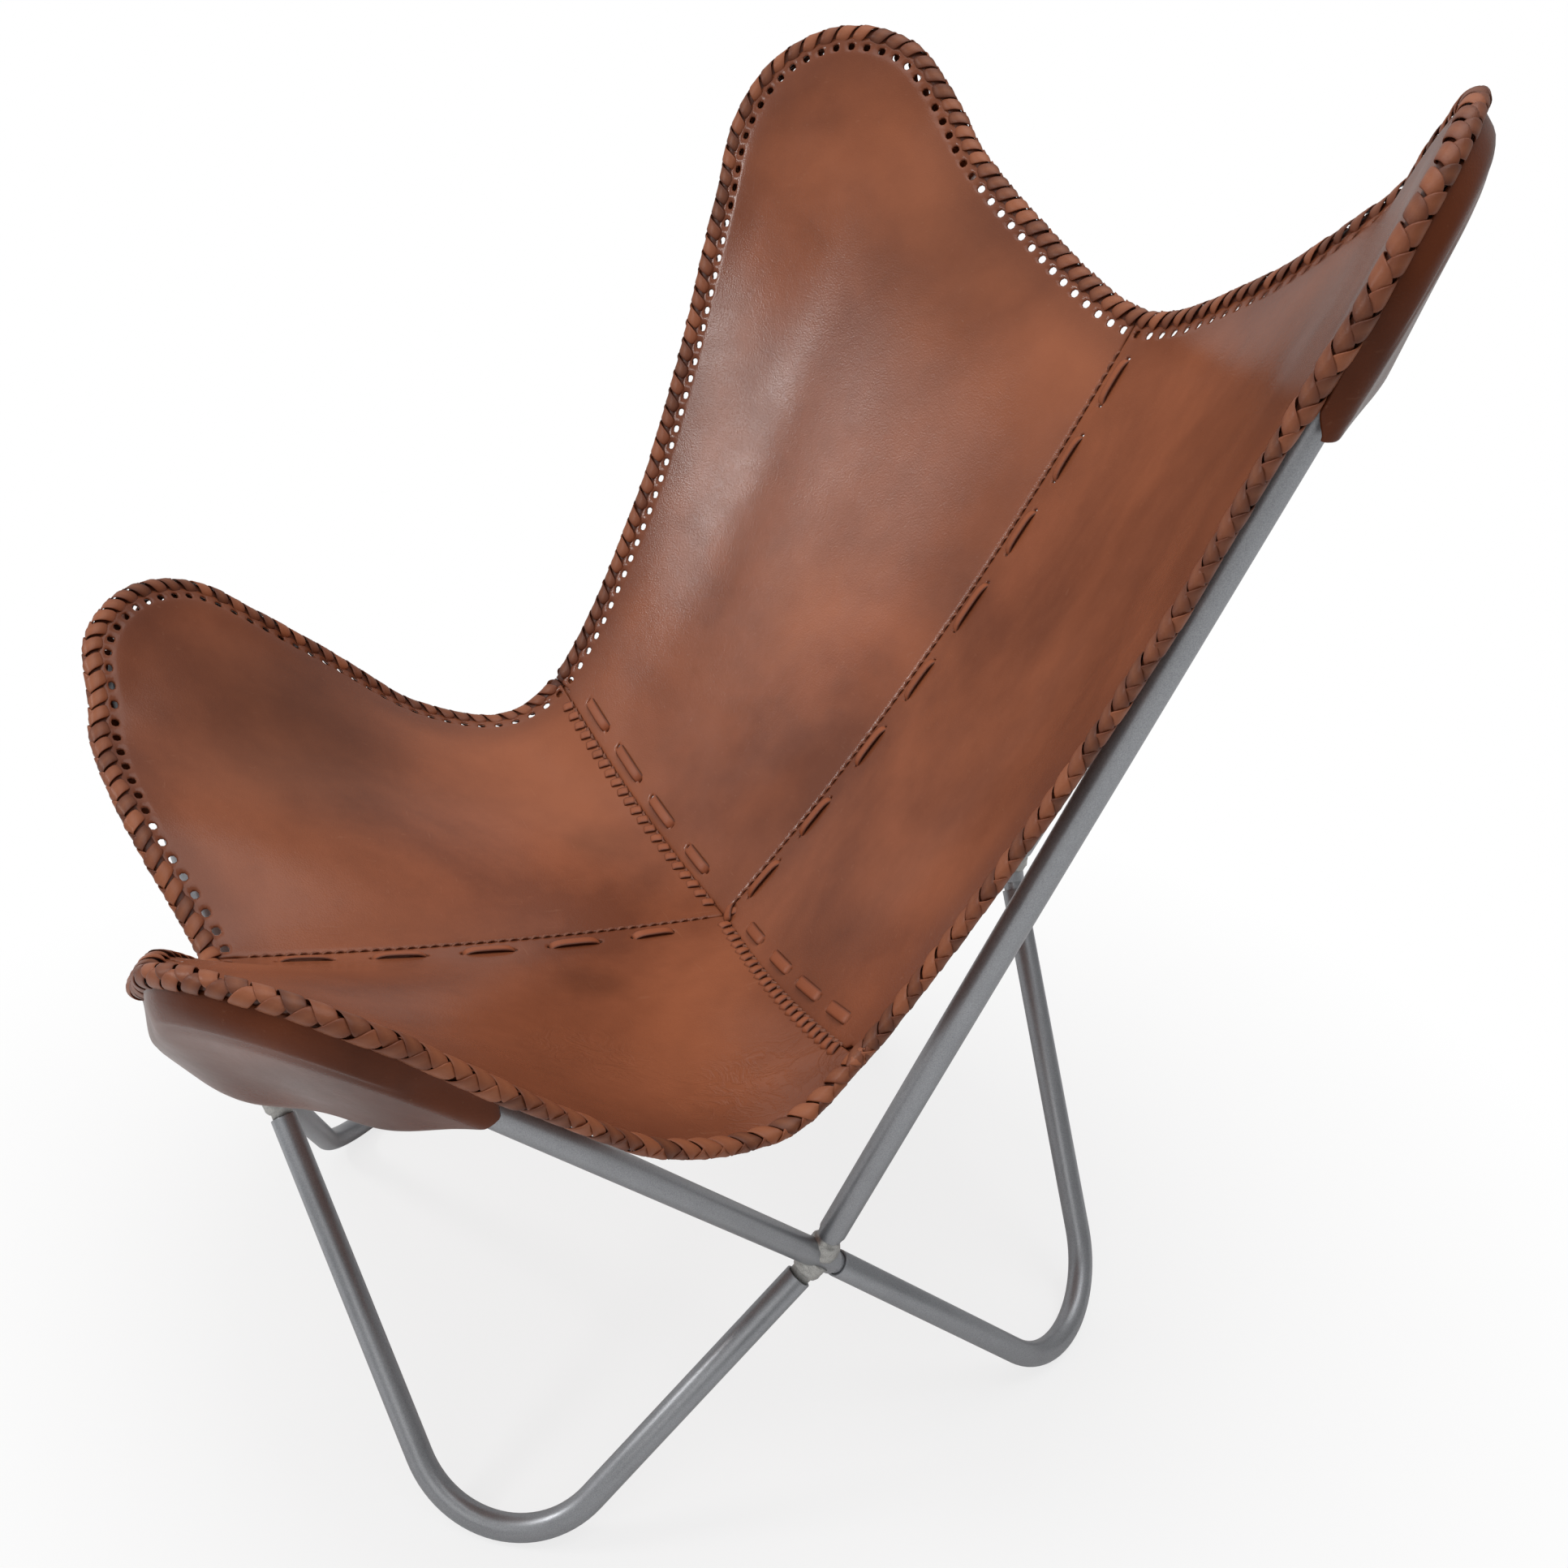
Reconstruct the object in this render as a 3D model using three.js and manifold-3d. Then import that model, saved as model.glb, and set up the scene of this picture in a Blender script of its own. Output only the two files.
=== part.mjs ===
// Butterfly sling chair: a laced leather sling hung by four pockets on a knock-down frame of bent tube.
// Millimetres, +Z up. The sitter faces -Y, and the sitter's left hand is on the +X side.
import * as THREE from "three";
import { mergeVertices } from "three/addons/utils/BufferGeometryUtils.js";
import Module from "manifold-3d";

const wasm = await Module();
wasm.setup();

// Tube stock
const TUBE_DIAMETER = 19;
const TUBE_WALL = 1.5;
const EAR_BEND_RADIUS = 70;
const FOOT_BEND_RADIUS = 76;
const FOOT_FLAT_DEPTH = 0.5;
const TUBE_SIDES = 16;
const BEND_STEPS = 9;

// Places where the centrelines of a bent tube's two legs would meet
const REAR_EAR_SPREAD = 427;
const REAR_EAR_DEPTH = 351;
const REAR_EAR_HEIGHT = 1144;
const FRONT_EAR_SPREAD = 329.5;
const FRONT_EAR_DEPTH = -380;
const FRONT_EAR_HEIGHT = 585;
const REAR_FOOT_SPREAD = 247;
const REAR_FOOT_DEPTH = 285;
const FRONT_FOOT_SPREAD = 256;
const FRONT_FOOT_DEPTH = -233;

// Places where an upper leg of one tube crosses an upper leg of another
const SIDE_CROSS_SPREAD = 254;
const SIDE_CROSS_DEPTH = 15;
const SIDE_CROSS_HEIGHT = 196;
const FRONT_CROSS_DEPTH = -303;
const FRONT_CROSS_HEIGHT = 241;
const REAR_CROSS_DEPTH = 309;
const REAR_CROSS_HEIGHT = 298;

// Spigots that plug the tubes together at a cross
const SPIGOT_CLEARANCE = 0.3;
const SPIGOT_INSERTION = 32;
const SPIGOT_CHAMFER = 2;
const CARRIER_OVERRUN = 14;
const PLUG_GAP_AT_CARRIER = 4;
const PLUG_GAP_AT_FOOT = 3;
const PLUG_BEND_RADIUS = 12;
const EAR_LEG_STANDOFF = 18;
const FOOT_LEG_STANDOFF = 20;
const RIM_ROUNDING = 6;
const RIM_SHARE = 0.35;
const RIM_FULLNESS = 0.7;
const WELD_BEAD_WIDTH = 3.4;
const WELD_BEAD_START = 4;
const WELD_BEAD_TOP = 16;
const JOINT_GAP = 0.3;

// Sling leather
const LEATHER_THICKNESS = 3;
const SEAT_LOW_DEPTH = 51;
const SEAT_LOW_HEIGHT = 307;
const BACK_TOP_DEPTH = 371;
const BACK_TOP_HEIGHT = 739;
const FRONT_LIP_DEPTH = -330;
const FRONT_LIP_HEIGHT = 361;
const SIDE_NOTCH_SPREAD = 297;
const SIDE_NOTCH_DEPTH = 13;
const SIDE_NOTCH_HEIGHT = 391;
const SIDE_DIP_SPREAD = 303;
const SIDE_DIP_DEPTH = -35;
const SIDE_DIP_HEIGHT = 359;
const BACK_SEAM_SAG = 18;
const FRONT_SEAM_SAG = 6;
const SIDE_SEAM_SAG = 12;

// Lace line round an ear: margins are measured outward from the tube's centreline in the ear's plane,
// and heights are measured from that plane toward the sitter.
const BRAID_WIDTH = 14;
const BRAID_THICKNESS = 8;
const BRAID_TIP_MARGIN = 25;
const BRAID_HALFWAY_MARGIN = 26.5;
const BRAID_SHOULDER_MARGIN = 28.5;
const BRAID_SHOULDER_ANGLE = 70;
const REAR_SIDE_TRIM = 5;
const BRAID_HEIGHT = 8;

// Lace line beside the legs: distance below the ear's tip, margin and height
const REAR_CENTRE_LACE = [[163, 89, 52], [90, 46, 24]];
const REAR_SIDE_LACE = [[108, 22, 8], [248, 20, 12], [378, 25, 21]];
const FRONT_SIDE_LACE = [[198, 50, 14], [120, 44, 6]];
const FRONT_CENTRE_LACE = [[73, 39, 11], [143, 56, 38]];

// Pockets that slip over the ears
const REAR_POCKET = {
  sideLength: 98, centreLength: 84, hemDrop: 10, sideFlare: 14, centreFlare: 14, waves: 1,
};
const FRONT_POCKET = {
  sideLength: 72, centreLength: 103, hemDrop: 30, sideFlare: 10, centreFlare: 28, waves: 2,
};
const POCKET_EASE = 4;
const HEM_MARGIN = 10;
const HEM_WAVE_SHARE = 0.4;
const POCKET_SLOPE = 1.5;

// Laces woven beside the seams, each in slots of one panel
const SEAM_LACE_WIDTH = 9;
const SEAM_LACE_THICKNESS = 1.6;
const SEAM_LACE_INSET = 14;
const SEAM_LACE_PITCH = 64;
const SEAM_LACE_MARGIN = 26;
const SEAM_LACE_TAIL = 8;
const SEAM_STITCH = 38;
const SEAM_DIVE = 7;
const SEAM_PROBE = 0.01;
const SLOT_CLEARANCE = 0.15;
const SEAM_LACES = {
  back_seam: { panel: "rear_left", beside: "centre" },
  front_seam: { panel: "front_left", beside: "centre" },
  left_seam: { panel: "rear_left", beside: "side" },
  right_seam: { panel: "rear_right", beside: "side" },
};

// How a sheet lies over a tube
const PANEL_SLACK = 1.6;
const POCKET_SLACK = 0.7;
const DRAPE_SHOULDER = 2.5;
const PANEL_DRAPE_REACH = 48;
const POCKET_DRAPE_REACH = 26;

// Mesh counts
const PANEL_CELLS = 16;
const POCKET_CELLS = 7;
const POCKET_ROW_GROWTH = 1.8;
const BRAID_SIDES = 8;
const RUN_SAMPLES = 60;
const PLUG_BEND_STEPS = 2;
const WELD_BEAD_STEPS = 3;

// Finishes
const SATIN_SILVER = { color: 0x8d8f91, roughness: 0.42, metalness: 0.75 };
const BARE_WELD = { color: 0x7c7d7e, roughness: 0.6, metalness: 0.75 };
const COGNAC_LEATHER = { color: 0x8a4a2b, roughness: 0.42, metalness: 0 };
const DARK_LACE = { color: 0x6d3821, roughness: 0.5, metalness: 0 };

const TUBE_RADIUS = TUBE_DIAMETER / 2;
const BORE_RADIUS = TUBE_RADIUS - TUBE_WALL;
const SPIGOT_RADIUS = BORE_RADIUS - SPIGOT_CLEARANCE;
const PANEL_HEIGHT = TUBE_RADIUS + PANEL_SLACK + LEATHER_THICKNESS / 2;
const POCKET_HEIGHT = TUBE_RADIUS + POCKET_SLACK + LEATHER_THICKNESS / 2;
const UP = new THREE.Vector3(0, 0, 1);
const chair = new THREE.Group();

const vector = (x, y, z) => new THREE.Vector3(x, y, z);
const along = (from, to) => to.clone().sub(from).normalize();
const step = (point, direction, distance) => point.clone().addScaledVector(direction, distance);
const mix = THREE.MathUtils.lerp;
const smooth = THREE.MathUtils.smoothstep;

function addMesh(name, geometry, finish) {
  const mesh = new THREE.Mesh(geometry, new THREE.MeshStandardMaterial(finish));
  mesh.name = name;
  chair.add(mesh);
  return mesh;
}

// Solids for cuts and joins
function solidOf(geometry) {
  const bare = geometry.clone();
  bare.deleteAttribute("normal");
  bare.deleteAttribute("uv");
  const merged = mergeVertices(bare, 1e-4);
  const vertProperties = new Float32Array(merged.attributes.position.array);
  const triVerts = new Uint32Array(merged.index.array);
  return new wasm.Manifold(new wasm.Mesh({ numProp: 3, vertProperties, triVerts }));
}

function geometryOf(solid) {
  const mesh = solid.getMesh();
  const geometry = new THREE.BufferGeometry();
  geometry.setAttribute("position", new THREE.BufferAttribute(mesh.vertProperties, mesh.numProp));
  geometry.setIndex(new THREE.BufferAttribute(mesh.triVerts, 1));
  geometry.computeVertexNormals();
  return geometry;
}

// Two straight legs joined by one round bend, with one step on each leg and even steps on the bend
class BentPath extends THREE.Curve {
  constructor(start, corner, end, radius, bendSteps) {
    super();
    const toStart = along(corner, start);
    const toEnd = along(corner, end);
    const half = toStart.angleTo(toEnd) / 2;
    this.start = start;
    this.end = end;
    this.radius = radius;
    this.steps = bendSteps + 2;
    this.sweep = Math.PI - 2 * half;
    this.toTip = toStart.clone().add(toEnd).normalize().negate();
    this.across = toEnd.clone().sub(toStart).normalize();
    this.centre = step(corner, this.toTip, -radius / Math.sin(half));
    this.tip = step(this.centre, this.toTip, radius);
  }

  bendAngle(index) {
    const share = (index - 1) / (this.steps - 2);
    return mix(-this.sweep / 2, this.sweep / 2, share);
  }

  bendPoint(angle) {
    const point = step(this.centre, this.toTip, this.radius * Math.cos(angle));
    return point.addScaledVector(this.across, this.radius * Math.sin(angle));
  }

  getPointAt(u) {
    const index = u * this.steps;
    if (index < 1) return this.start.clone().lerp(this.bendPoint(this.bendAngle(1)), index);
    const last = this.steps - 1;
    if (index > last) return this.bendPoint(this.bendAngle(last)).lerp(this.end, index - last);
    return this.bendPoint(this.bendAngle(index));
  }

  getTangentAt(u) {
    const index = THREE.MathUtils.clamp(u * this.steps, 1, this.steps - 1);
    const angle = this.bendAngle(index);
    const tangent = this.toTip.clone().multiplyScalar(-Math.sin(angle));
    return tangent.addScaledVector(this.across, Math.cos(angle));
  }

  lowestHeight() {
    const tilt = this.toTip.clone().cross(this.across).dot(UP);
    return this.centre.z - this.radius * Math.sqrt(1 - tilt * tilt);
  }

  // Nearest point of the centreline: on either leg, or on the bend
  nearest(point) {
    const bendStart = this.bendPoint(-this.sweep / 2);
    const bendEnd = this.bendPoint(this.sweep / 2);
    const offset = point.clone().sub(this.centre);
    const angle = Math.atan2(offset.dot(this.across), offset.dot(this.toTip));
    const limit = this.sweep / 2;
    const candidates = [
      new THREE.Line3(this.start, bendStart).closestPointToPoint(point, true, vector()),
      new THREE.Line3(bendEnd, this.end).closestPointToPoint(point, true, vector()),
      this.bendPoint(THREE.MathUtils.clamp(angle, -limit, limit)),
    ];
    return candidates.reduce((a, b) => (point.distanceTo(a) < point.distanceTo(b) ? a : b));
  }
}

function roundBar(radius) {
  return new THREE.Shape().absarc(0, 0, radius, 0, 2 * Math.PI);
}

function roundTube(radius, bore) {
  const shape = roundBar(radius);
  shape.holes.push(new THREE.Path().absarc(0, 0, bore, 0, 2 * Math.PI, true));
  return shape;
}

function sweep(path, shape) {
  const curveSegments = TUBE_SIDES / 2;
  return new THREE.ExtrudeGeometry(shape, { steps: path.steps, extrudePath: path, curveSegments });
}

// A profile of radius and height turned round an axis that leaves a point in a direction
function turned(profile, point, direction) {
  const geometry = new THREE.LatheGeometry(profile, TUBE_SIDES);
  const turn = new THREE.Quaternion().setFromUnitVectors(vector(0, 1, 0), direction);
  return geometry.applyQuaternion(turn).translate(point.x, point.y, point.z);
}

// Frame layout
const side = (sign, spread, depth, height) => vector(sign * spread, depth, height);
const rearEar = (sign) => side(sign, REAR_EAR_SPREAD, REAR_EAR_DEPTH, REAR_EAR_HEIGHT);
const frontEar = (sign) => side(sign, FRONT_EAR_SPREAD, FRONT_EAR_DEPTH, FRONT_EAR_HEIGHT);
const earCorners = {
  rear_left: rearEar(1),
  rear_right: rearEar(-1),
  front_left: frontEar(1),
  front_right: frontEar(-1),
};
const footPlaces = {
  rear_left: [REAR_FOOT_SPREAD, REAR_FOOT_DEPTH],
  rear_right: [-REAR_FOOT_SPREAD, REAR_FOOT_DEPTH],
  front_left: [FRONT_FOOT_SPREAD, FRONT_FOOT_DEPTH],
  front_right: [-FRONT_FOOT_SPREAD, FRONT_FOOT_DEPTH],
};

// At each cross one ear tube carries the spigots: a plug in its own end for the foot in line with it,
// a welded spigot up into the other ear tube and a welded spigot down into the other foot tube.
const crosses = {
  left: {
    at: side(1, SIDE_CROSS_SPREAD, SIDE_CROSS_DEPTH, SIDE_CROSS_HEIGHT),
    carrier: "front_left",
    plugFoot: "rear_left",
    spigotEar: "rear_left",
    spigotFoot: "front_left",
  },
  right: {
    at: side(-1, SIDE_CROSS_SPREAD, SIDE_CROSS_DEPTH, SIDE_CROSS_HEIGHT),
    carrier: "rear_right",
    plugFoot: "front_right",
    spigotEar: "front_right",
    spigotFoot: "rear_right",
  },
  front: {
    at: vector(0, FRONT_CROSS_DEPTH, FRONT_CROSS_HEIGHT),
    carrier: "front_left",
    plugFoot: "front_right",
    spigotEar: "front_right",
    spigotFoot: "front_left",
  },
  rear: {
    at: vector(0, REAR_CROSS_DEPTH, REAR_CROSS_HEIGHT),
    carrier: "rear_right",
    plugFoot: "rear_left",
    spigotEar: "rear_left",
    spigotFoot: "rear_right",
  },
};
const crossesOf = (corner) => {
  const [end, hand] = corner.split("_");
  return [crosses[hand], crosses[end]];
};
// Paths start at the side cross and end at the front or rear cross
const legEnd = (paths, corner, cross) =>
  crossesOf(corner)[0] === cross ? paths[corner].start : paths[corner].end;
for (const cross of Object.values(crosses)) {
  cross.carrierLine = along(earCorners[cross.carrier], cross.at);
  cross.plugCorner = step(cross.at, cross.carrierLine, CARRIER_OVERRUN + PLUG_GAP_AT_CARRIER);
}

// Ear tubes: each is a loop with a leg to the side cross and a leg to the front or rear cross
function earLegEnd(corner, cross) {
  const downLeg = along(earCorners[corner], cross.at);
  return step(cross.at, downLeg, cross.carrier === corner ? CARRIER_OVERRUN : -EAR_LEG_STANDOFF);
}

function earPath(corner) {
  const [sideEnd, otherEnd] = crossesOf(corner).map((cross) => earLegEnd(corner, cross));
  return new BentPath(sideEnd, earCorners[corner], otherEnd, EAR_BEND_RADIUS, BEND_STEPS);
}

// The end of a leg that slips over a spigot is rounded in at its rim
function rimCutter(end, outward) {
  const rim = mix(BORE_RADIUS, TUBE_RADIUS, RIM_SHARE);
  const clear = TUBE_DIAMETER;
  const profile = [
    new THREE.Vector2(rim, clear),
    new THREE.Vector2(rim, 0),
    new THREE.Vector2(mix(rim, TUBE_RADIUS, RIM_FULLNESS), -RIM_ROUNDING / 2),
    new THREE.Vector2(TUBE_RADIUS, -RIM_ROUNDING),
    new THREE.Vector2(clear, -RIM_ROUNDING),
    new THREE.Vector2(clear, clear),
    new THREE.Vector2(rim, clear),
  ];
  return solidOf(turned(profile, end, outward));
}

const earPaths = {};
for (const corner of Object.keys(earCorners)) {
  const path = earPath(corner);
  earPaths[corner] = path;
  let tube = solidOf(sweep(path, roundTube(TUBE_RADIUS, BORE_RADIUS)));
  for (const cross of crossesOf(corner)) {
    if (cross.spigotEar !== corner) continue;
    tube = tube.subtract(rimCutter(earLegEnd(corner, cross), along(earCorners[corner], cross.at)));
  }
  addMesh(`${corner}_ear_tube`, geometryOf(tube), SATIN_SILVER);
}

// Foot tubes: the bend is lowered until it stands on the floor, where it is worn flat
function footPath(corner) {
  const anchors = crossesOf(corner).map((cross) => (cross.plugFoot === corner ? cross.plugCorner : cross.at));
  const gaps = crossesOf(corner).map((cross) =>
    cross.plugFoot === corner ? PLUG_GAP_AT_FOOT : FOOT_LEG_STANDOFF,
  );
  const [x, y] = footPlaces[corner];
  const low = vector(x, y, 0);
  const bent = () => {
    const [start, end] = anchors.map((anchor, i) => step(anchor, along(anchor, low), gaps[i]));
    return new BentPath(start, low, end, FOOT_BEND_RADIUS, BEND_STEPS);
  };
  for (let round = 0; round < 20; round++) {
    low.z += TUBE_RADIUS - FOOT_FLAT_DEPTH - bent().lowestHeight();
  }
  return bent();
}

const footPaths = {};
for (const corner of Object.keys(footPlaces)) {
  const path = footPath(corner);
  footPaths[corner] = path;
  const tube = solidOf(sweep(path, roundTube(TUBE_RADIUS, BORE_RADIUS)));
  const floor = new THREE.BoxGeometry(4 * FOOT_BEND_RADIUS, 4 * FOOT_BEND_RADIUS, TUBE_DIAMETER);
  floor.translate(path.centre.x, path.centre.y, -TUBE_DIAMETER / 2);
  addMesh(`${corner}_foot_tube`, geometryOf(tube.subtract(solidOf(floor))), SATIN_SILVER);
}

// Plugs: a bar in the carrier's end, bent toward the foot tube that slips over it
function plugGeometry(cross) {
  const start = step(cross.at, cross.carrierLine, CARRIER_OVERRUN - SPIGOT_INSERTION);
  const legStart = legEnd(footPaths, cross.plugFoot, cross);
  const end = step(legStart, along(cross.plugCorner, legStart), SPIGOT_INSERTION);
  const path = new BentPath(start, cross.plugCorner, end, PLUG_BEND_RADIUS, PLUG_BEND_STEPS);
  return sweep(path, roundBar(SPIGOT_RADIUS));
}

// Welded spigots: a bar with a weld bead at its root, saddled on the carrier tube
function spigotGeometry(cross, legStart) {
  const direction = along(cross.at, legStart);
  const reach = cross.at.distanceTo(legStart) + SPIGOT_INSERTION;
  const beadHeight = WELD_BEAD_TOP - WELD_BEAD_START;
  const bead = new THREE.EllipseCurve(
    SPIGOT_RADIUS, WELD_BEAD_START, WELD_BEAD_WIDTH, beadHeight, 0, Math.PI / 2,
  );
  const profile = [
    new THREE.Vector2(0, WELD_BEAD_START),
    ...bead.getPoints(WELD_BEAD_STEPS),
    new THREE.Vector2(SPIGOT_RADIUS, reach - SPIGOT_CHAMFER),
    new THREE.Vector2(SPIGOT_RADIUS - SPIGOT_CHAMFER, reach),
    new THREE.Vector2(0, reach),
  ];
  const saddle = TUBE_RADIUS + JOINT_GAP;
  const carrier = [
    new THREE.Vector2(0, -reach),
    new THREE.Vector2(saddle, -reach),
    new THREE.Vector2(saddle, reach),
    new THREE.Vector2(0, reach),
  ];
  const bar = solidOf(turned(profile, cross.at, direction));
  return geometryOf(bar.subtract(solidOf(turned(carrier, cross.at, cross.carrierLine))));
}

for (const [name, cross] of Object.entries(crosses)) {
  const earLeg = legEnd(earPaths, cross.spigotEar, cross);
  const footLeg = legEnd(footPaths, cross.spigotFoot, cross);
  addMesh(`${name}_cross_plug`, plugGeometry(cross), SATIN_SILVER);
  addMesh(`${name}_cross_upper_spigot`, spigotGeometry(cross, earLeg), BARE_WELD);
  addMesh(`${name}_cross_lower_spigot`, spigotGeometry(cross, footLeg), BARE_WELD);
}

// Sling layout, left half. The lace line runs from the top of the back round the rear ear, down past the
// side notch and round the front ear to the front lip.
const seatLow = vector(0, SEAT_LOW_DEPTH, SEAT_LOW_HEIGHT);
const backTop = vector(0, BACK_TOP_DEPTH, BACK_TOP_HEIGHT);
const frontLip = vector(0, FRONT_LIP_DEPTH, FRONT_LIP_HEIGHT);
const sideNotch = vector(SIDE_NOTCH_SPREAD, SIDE_NOTCH_DEPTH, SIDE_NOTCH_HEIGHT);
const sideDip = vector(SIDE_DIP_SPREAD, SIDE_DIP_DEPTH, SIDE_DIP_HEIGHT);

class EarOutline {
  constructor(path) {
    this.path = path;
    this.inside = path.toTip.clone().cross(path.across);
    if (this.inside.dot(along(path.tip, seatLow)) < 0) this.inside.negate();
  }

  // Beside the bend, at an angle in degrees from its tip
  roundBend([degrees, margin, height]) {
    const angle = THREE.MathUtils.degToRad(degrees);
    const out = along(this.path.centre, this.path.bendPoint(angle));
    return step(step(this.path.bendPoint(angle), out, margin), this.inside, height);
  }

  // Beside a leg, at a distance below the tip
  besideLeg(leg, [below, margin, height]) {
    const path = this.path;
    const [top, bottom] =
      leg === "side"
        ? [path.bendPoint(-path.sweep / 2), path.start]
        : [path.bendPoint(path.sweep / 2), path.end];
    const line = along(top, bottom);
    const drop = below - path.tip.clone().sub(top).dot(path.toTip);
    const point = step(top, line, drop / -line.dot(path.toTip));
    const out = along(path.centre, top);
    return step(step(point, out, margin), this.inside, height);
  }

  heightOf(point) {
    return point.clone().sub(this.path.tip).dot(this.inside);
  }

  isCentreSide(point) {
    return point.clone().sub(this.path.tip).dot(this.path.across) > 0;
  }

  belowTip(point) {
    return -point.clone().sub(this.path.tip).dot(this.path.toTip);
  }

  // A sheet that lies over the tube is lifted clear of it, and comes down gently beside it
  drape(point, direction, full, reach) {
    const offset = point.clone().sub(this.path.nearest(point));
    const height = offset.dot(direction);
    const beside = Math.sqrt(Math.max(offset.lengthSq() - height * height, 0));
    const hold = 1 - smooth(beside, TUBE_RADIUS + DRAPE_SHOULDER, reach);
    const lift = hold * full - (height > 0 ? height : hold * height);
    return lift > 0 ? step(point, direction, lift) : point;
  }
}

const rear = new EarOutline(earPaths.rear_left);
const front = new EarOutline(earPaths.front_left);
// Places round a bend, from the side leg to the other leg, with the margin trimmed on the side
const laceTips = (sideTrim) => [
  [-BRAID_SHOULDER_ANGLE, BRAID_SHOULDER_MARGIN - sideTrim, BRAID_HEIGHT],
  [-BRAID_SHOULDER_ANGLE / 2, BRAID_HALFWAY_MARGIN - sideTrim / 2, BRAID_HEIGHT],
  [0, BRAID_TIP_MARGIN, BRAID_HEIGHT],
  [BRAID_SHOULDER_ANGLE / 2, BRAID_HALFWAY_MARGIN, BRAID_HEIGHT],
  [BRAID_SHOULDER_ANGLE, BRAID_SHOULDER_MARGIN, BRAID_HEIGHT],
];
const rearTips = laceTips(REAR_SIDE_TRIM).map((place) => rear.roundBend(place));
const frontTips = laceTips(0).map((place) => front.roundBend(place));
const halfLace = [
  backTop,
  ...REAR_CENTRE_LACE.map((place) => rear.besideLeg("centre", place)),
  ...rearTips.toReversed(),
  ...REAR_SIDE_LACE.map((place) => rear.besideLeg("side", place)),
  sideNotch,
  sideDip,
  ...FRONT_SIDE_LACE.map((place) => front.besideLeg("side", place)),
  ...frontTips,
  ...FRONT_CENTRE_LACE.map((place) => front.besideLeg("centre", place)),
  frontLip,
];
// One point of the right half at each end takes the line straight across the middle of the chair
const flipped = (point) => point.clone().multiply(vector(-1, 1, 1));
const lacePoints = [flipped(halfLace[1]), ...halfLace, flipped(halfLace.at(-2))];
const laceLine = new THREE.CatmullRomCurve3(lacePoints, false, "centripetal");
const laceShare = (point) => lacePoints.indexOf(point) / (lacePoints.length - 1);
const backTopShare = laceShare(backTop);
const rearTipShare = laceShare(rearTips[(rearTips.length - 1) / 2]);
const notchShare = laceShare(sideNotch);
const frontTipShare = laceShare(frontTips[(frontTips.length - 1) / 2]);
const frontLipShare = laceShare(frontLip);

// The leather ends inside the braid that binds it
function leatherEdge(share) {
  const point = laceLine.getPoint(share);
  const tangent = laceLine.getTangent(share);
  const inward = seatLow.clone().sub(point);
  inward.addScaledVector(tangent, -inward.dot(tangent)).normalize();
  return step(point, inward, BRAID_WIDTH / 2 + JOINT_GAP);
}

// Seams: each lies in an upright plane, given by the way it faces
const CENTRE_SEAM_FACE = vector(1, 0, 0);
const sideSeam = saggingRun(seatLow, leatherEdge(notchShare), vector(0, 0, -1), SIDE_SEAM_SAG);
const sideSeamFace = UP.clone().cross(leatherEdge(notchShare).sub(seatLow)).normalize();

function evenRun(pointAt, from, to) {
  const samples = Array.from({ length: RUN_SAMPLES + 1 }, (_, i) => pointAt(mix(from, to, i / RUN_SAMPLES)));
  const run = new THREE.CatmullRomCurve3(samples, false, "centripetal");
  return (share) => run.getPointAt(share);
}

function saggingRun(from, to, down, sag) {
  const middle = from.clone().add(to).multiplyScalar(0.5);
  const run = new THREE.QuadraticBezierCurve3(from, step(middle, down, 2 * sag), to);
  return (share) => run.getPointAt(share);
}

// A panel is stretched between two seams and two stretches of the laced edge
function panelSurface(ear, centreSeam, sideSeam, sideEdge, centreEdge) {
  const corners = [centreSeam(0), centreSeam(1), sideSeam(1), sideEdge(1)];
  const surface = (u, v) => {
    const point = centreSeam(u).multiplyScalar(1 - v).addScaledVector(sideEdge(u), v);
    point.addScaledVector(sideSeam(v), 1 - u).addScaledVector(centreEdge(v), u);
    point.addScaledVector(corners[0], -(1 - u) * (1 - v)).addScaledVector(corners[1], -u * (1 - v));
    return point.addScaledVector(corners[2], -(1 - u) * v).addScaledVector(corners[3], -u * v);
  };
  return (u, v) => ear.drape(surface(u, v), ear.inside, PANEL_HEIGHT, PANEL_DRAPE_REACH);
}

function panelGrid(surface) {
  const shares = Array.from({ length: PANEL_CELLS + 1 }, (_, i) => i / PANEL_CELLS);
  return shares.map((u) => shares.map((v) => surface(u, v)));
}

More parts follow.
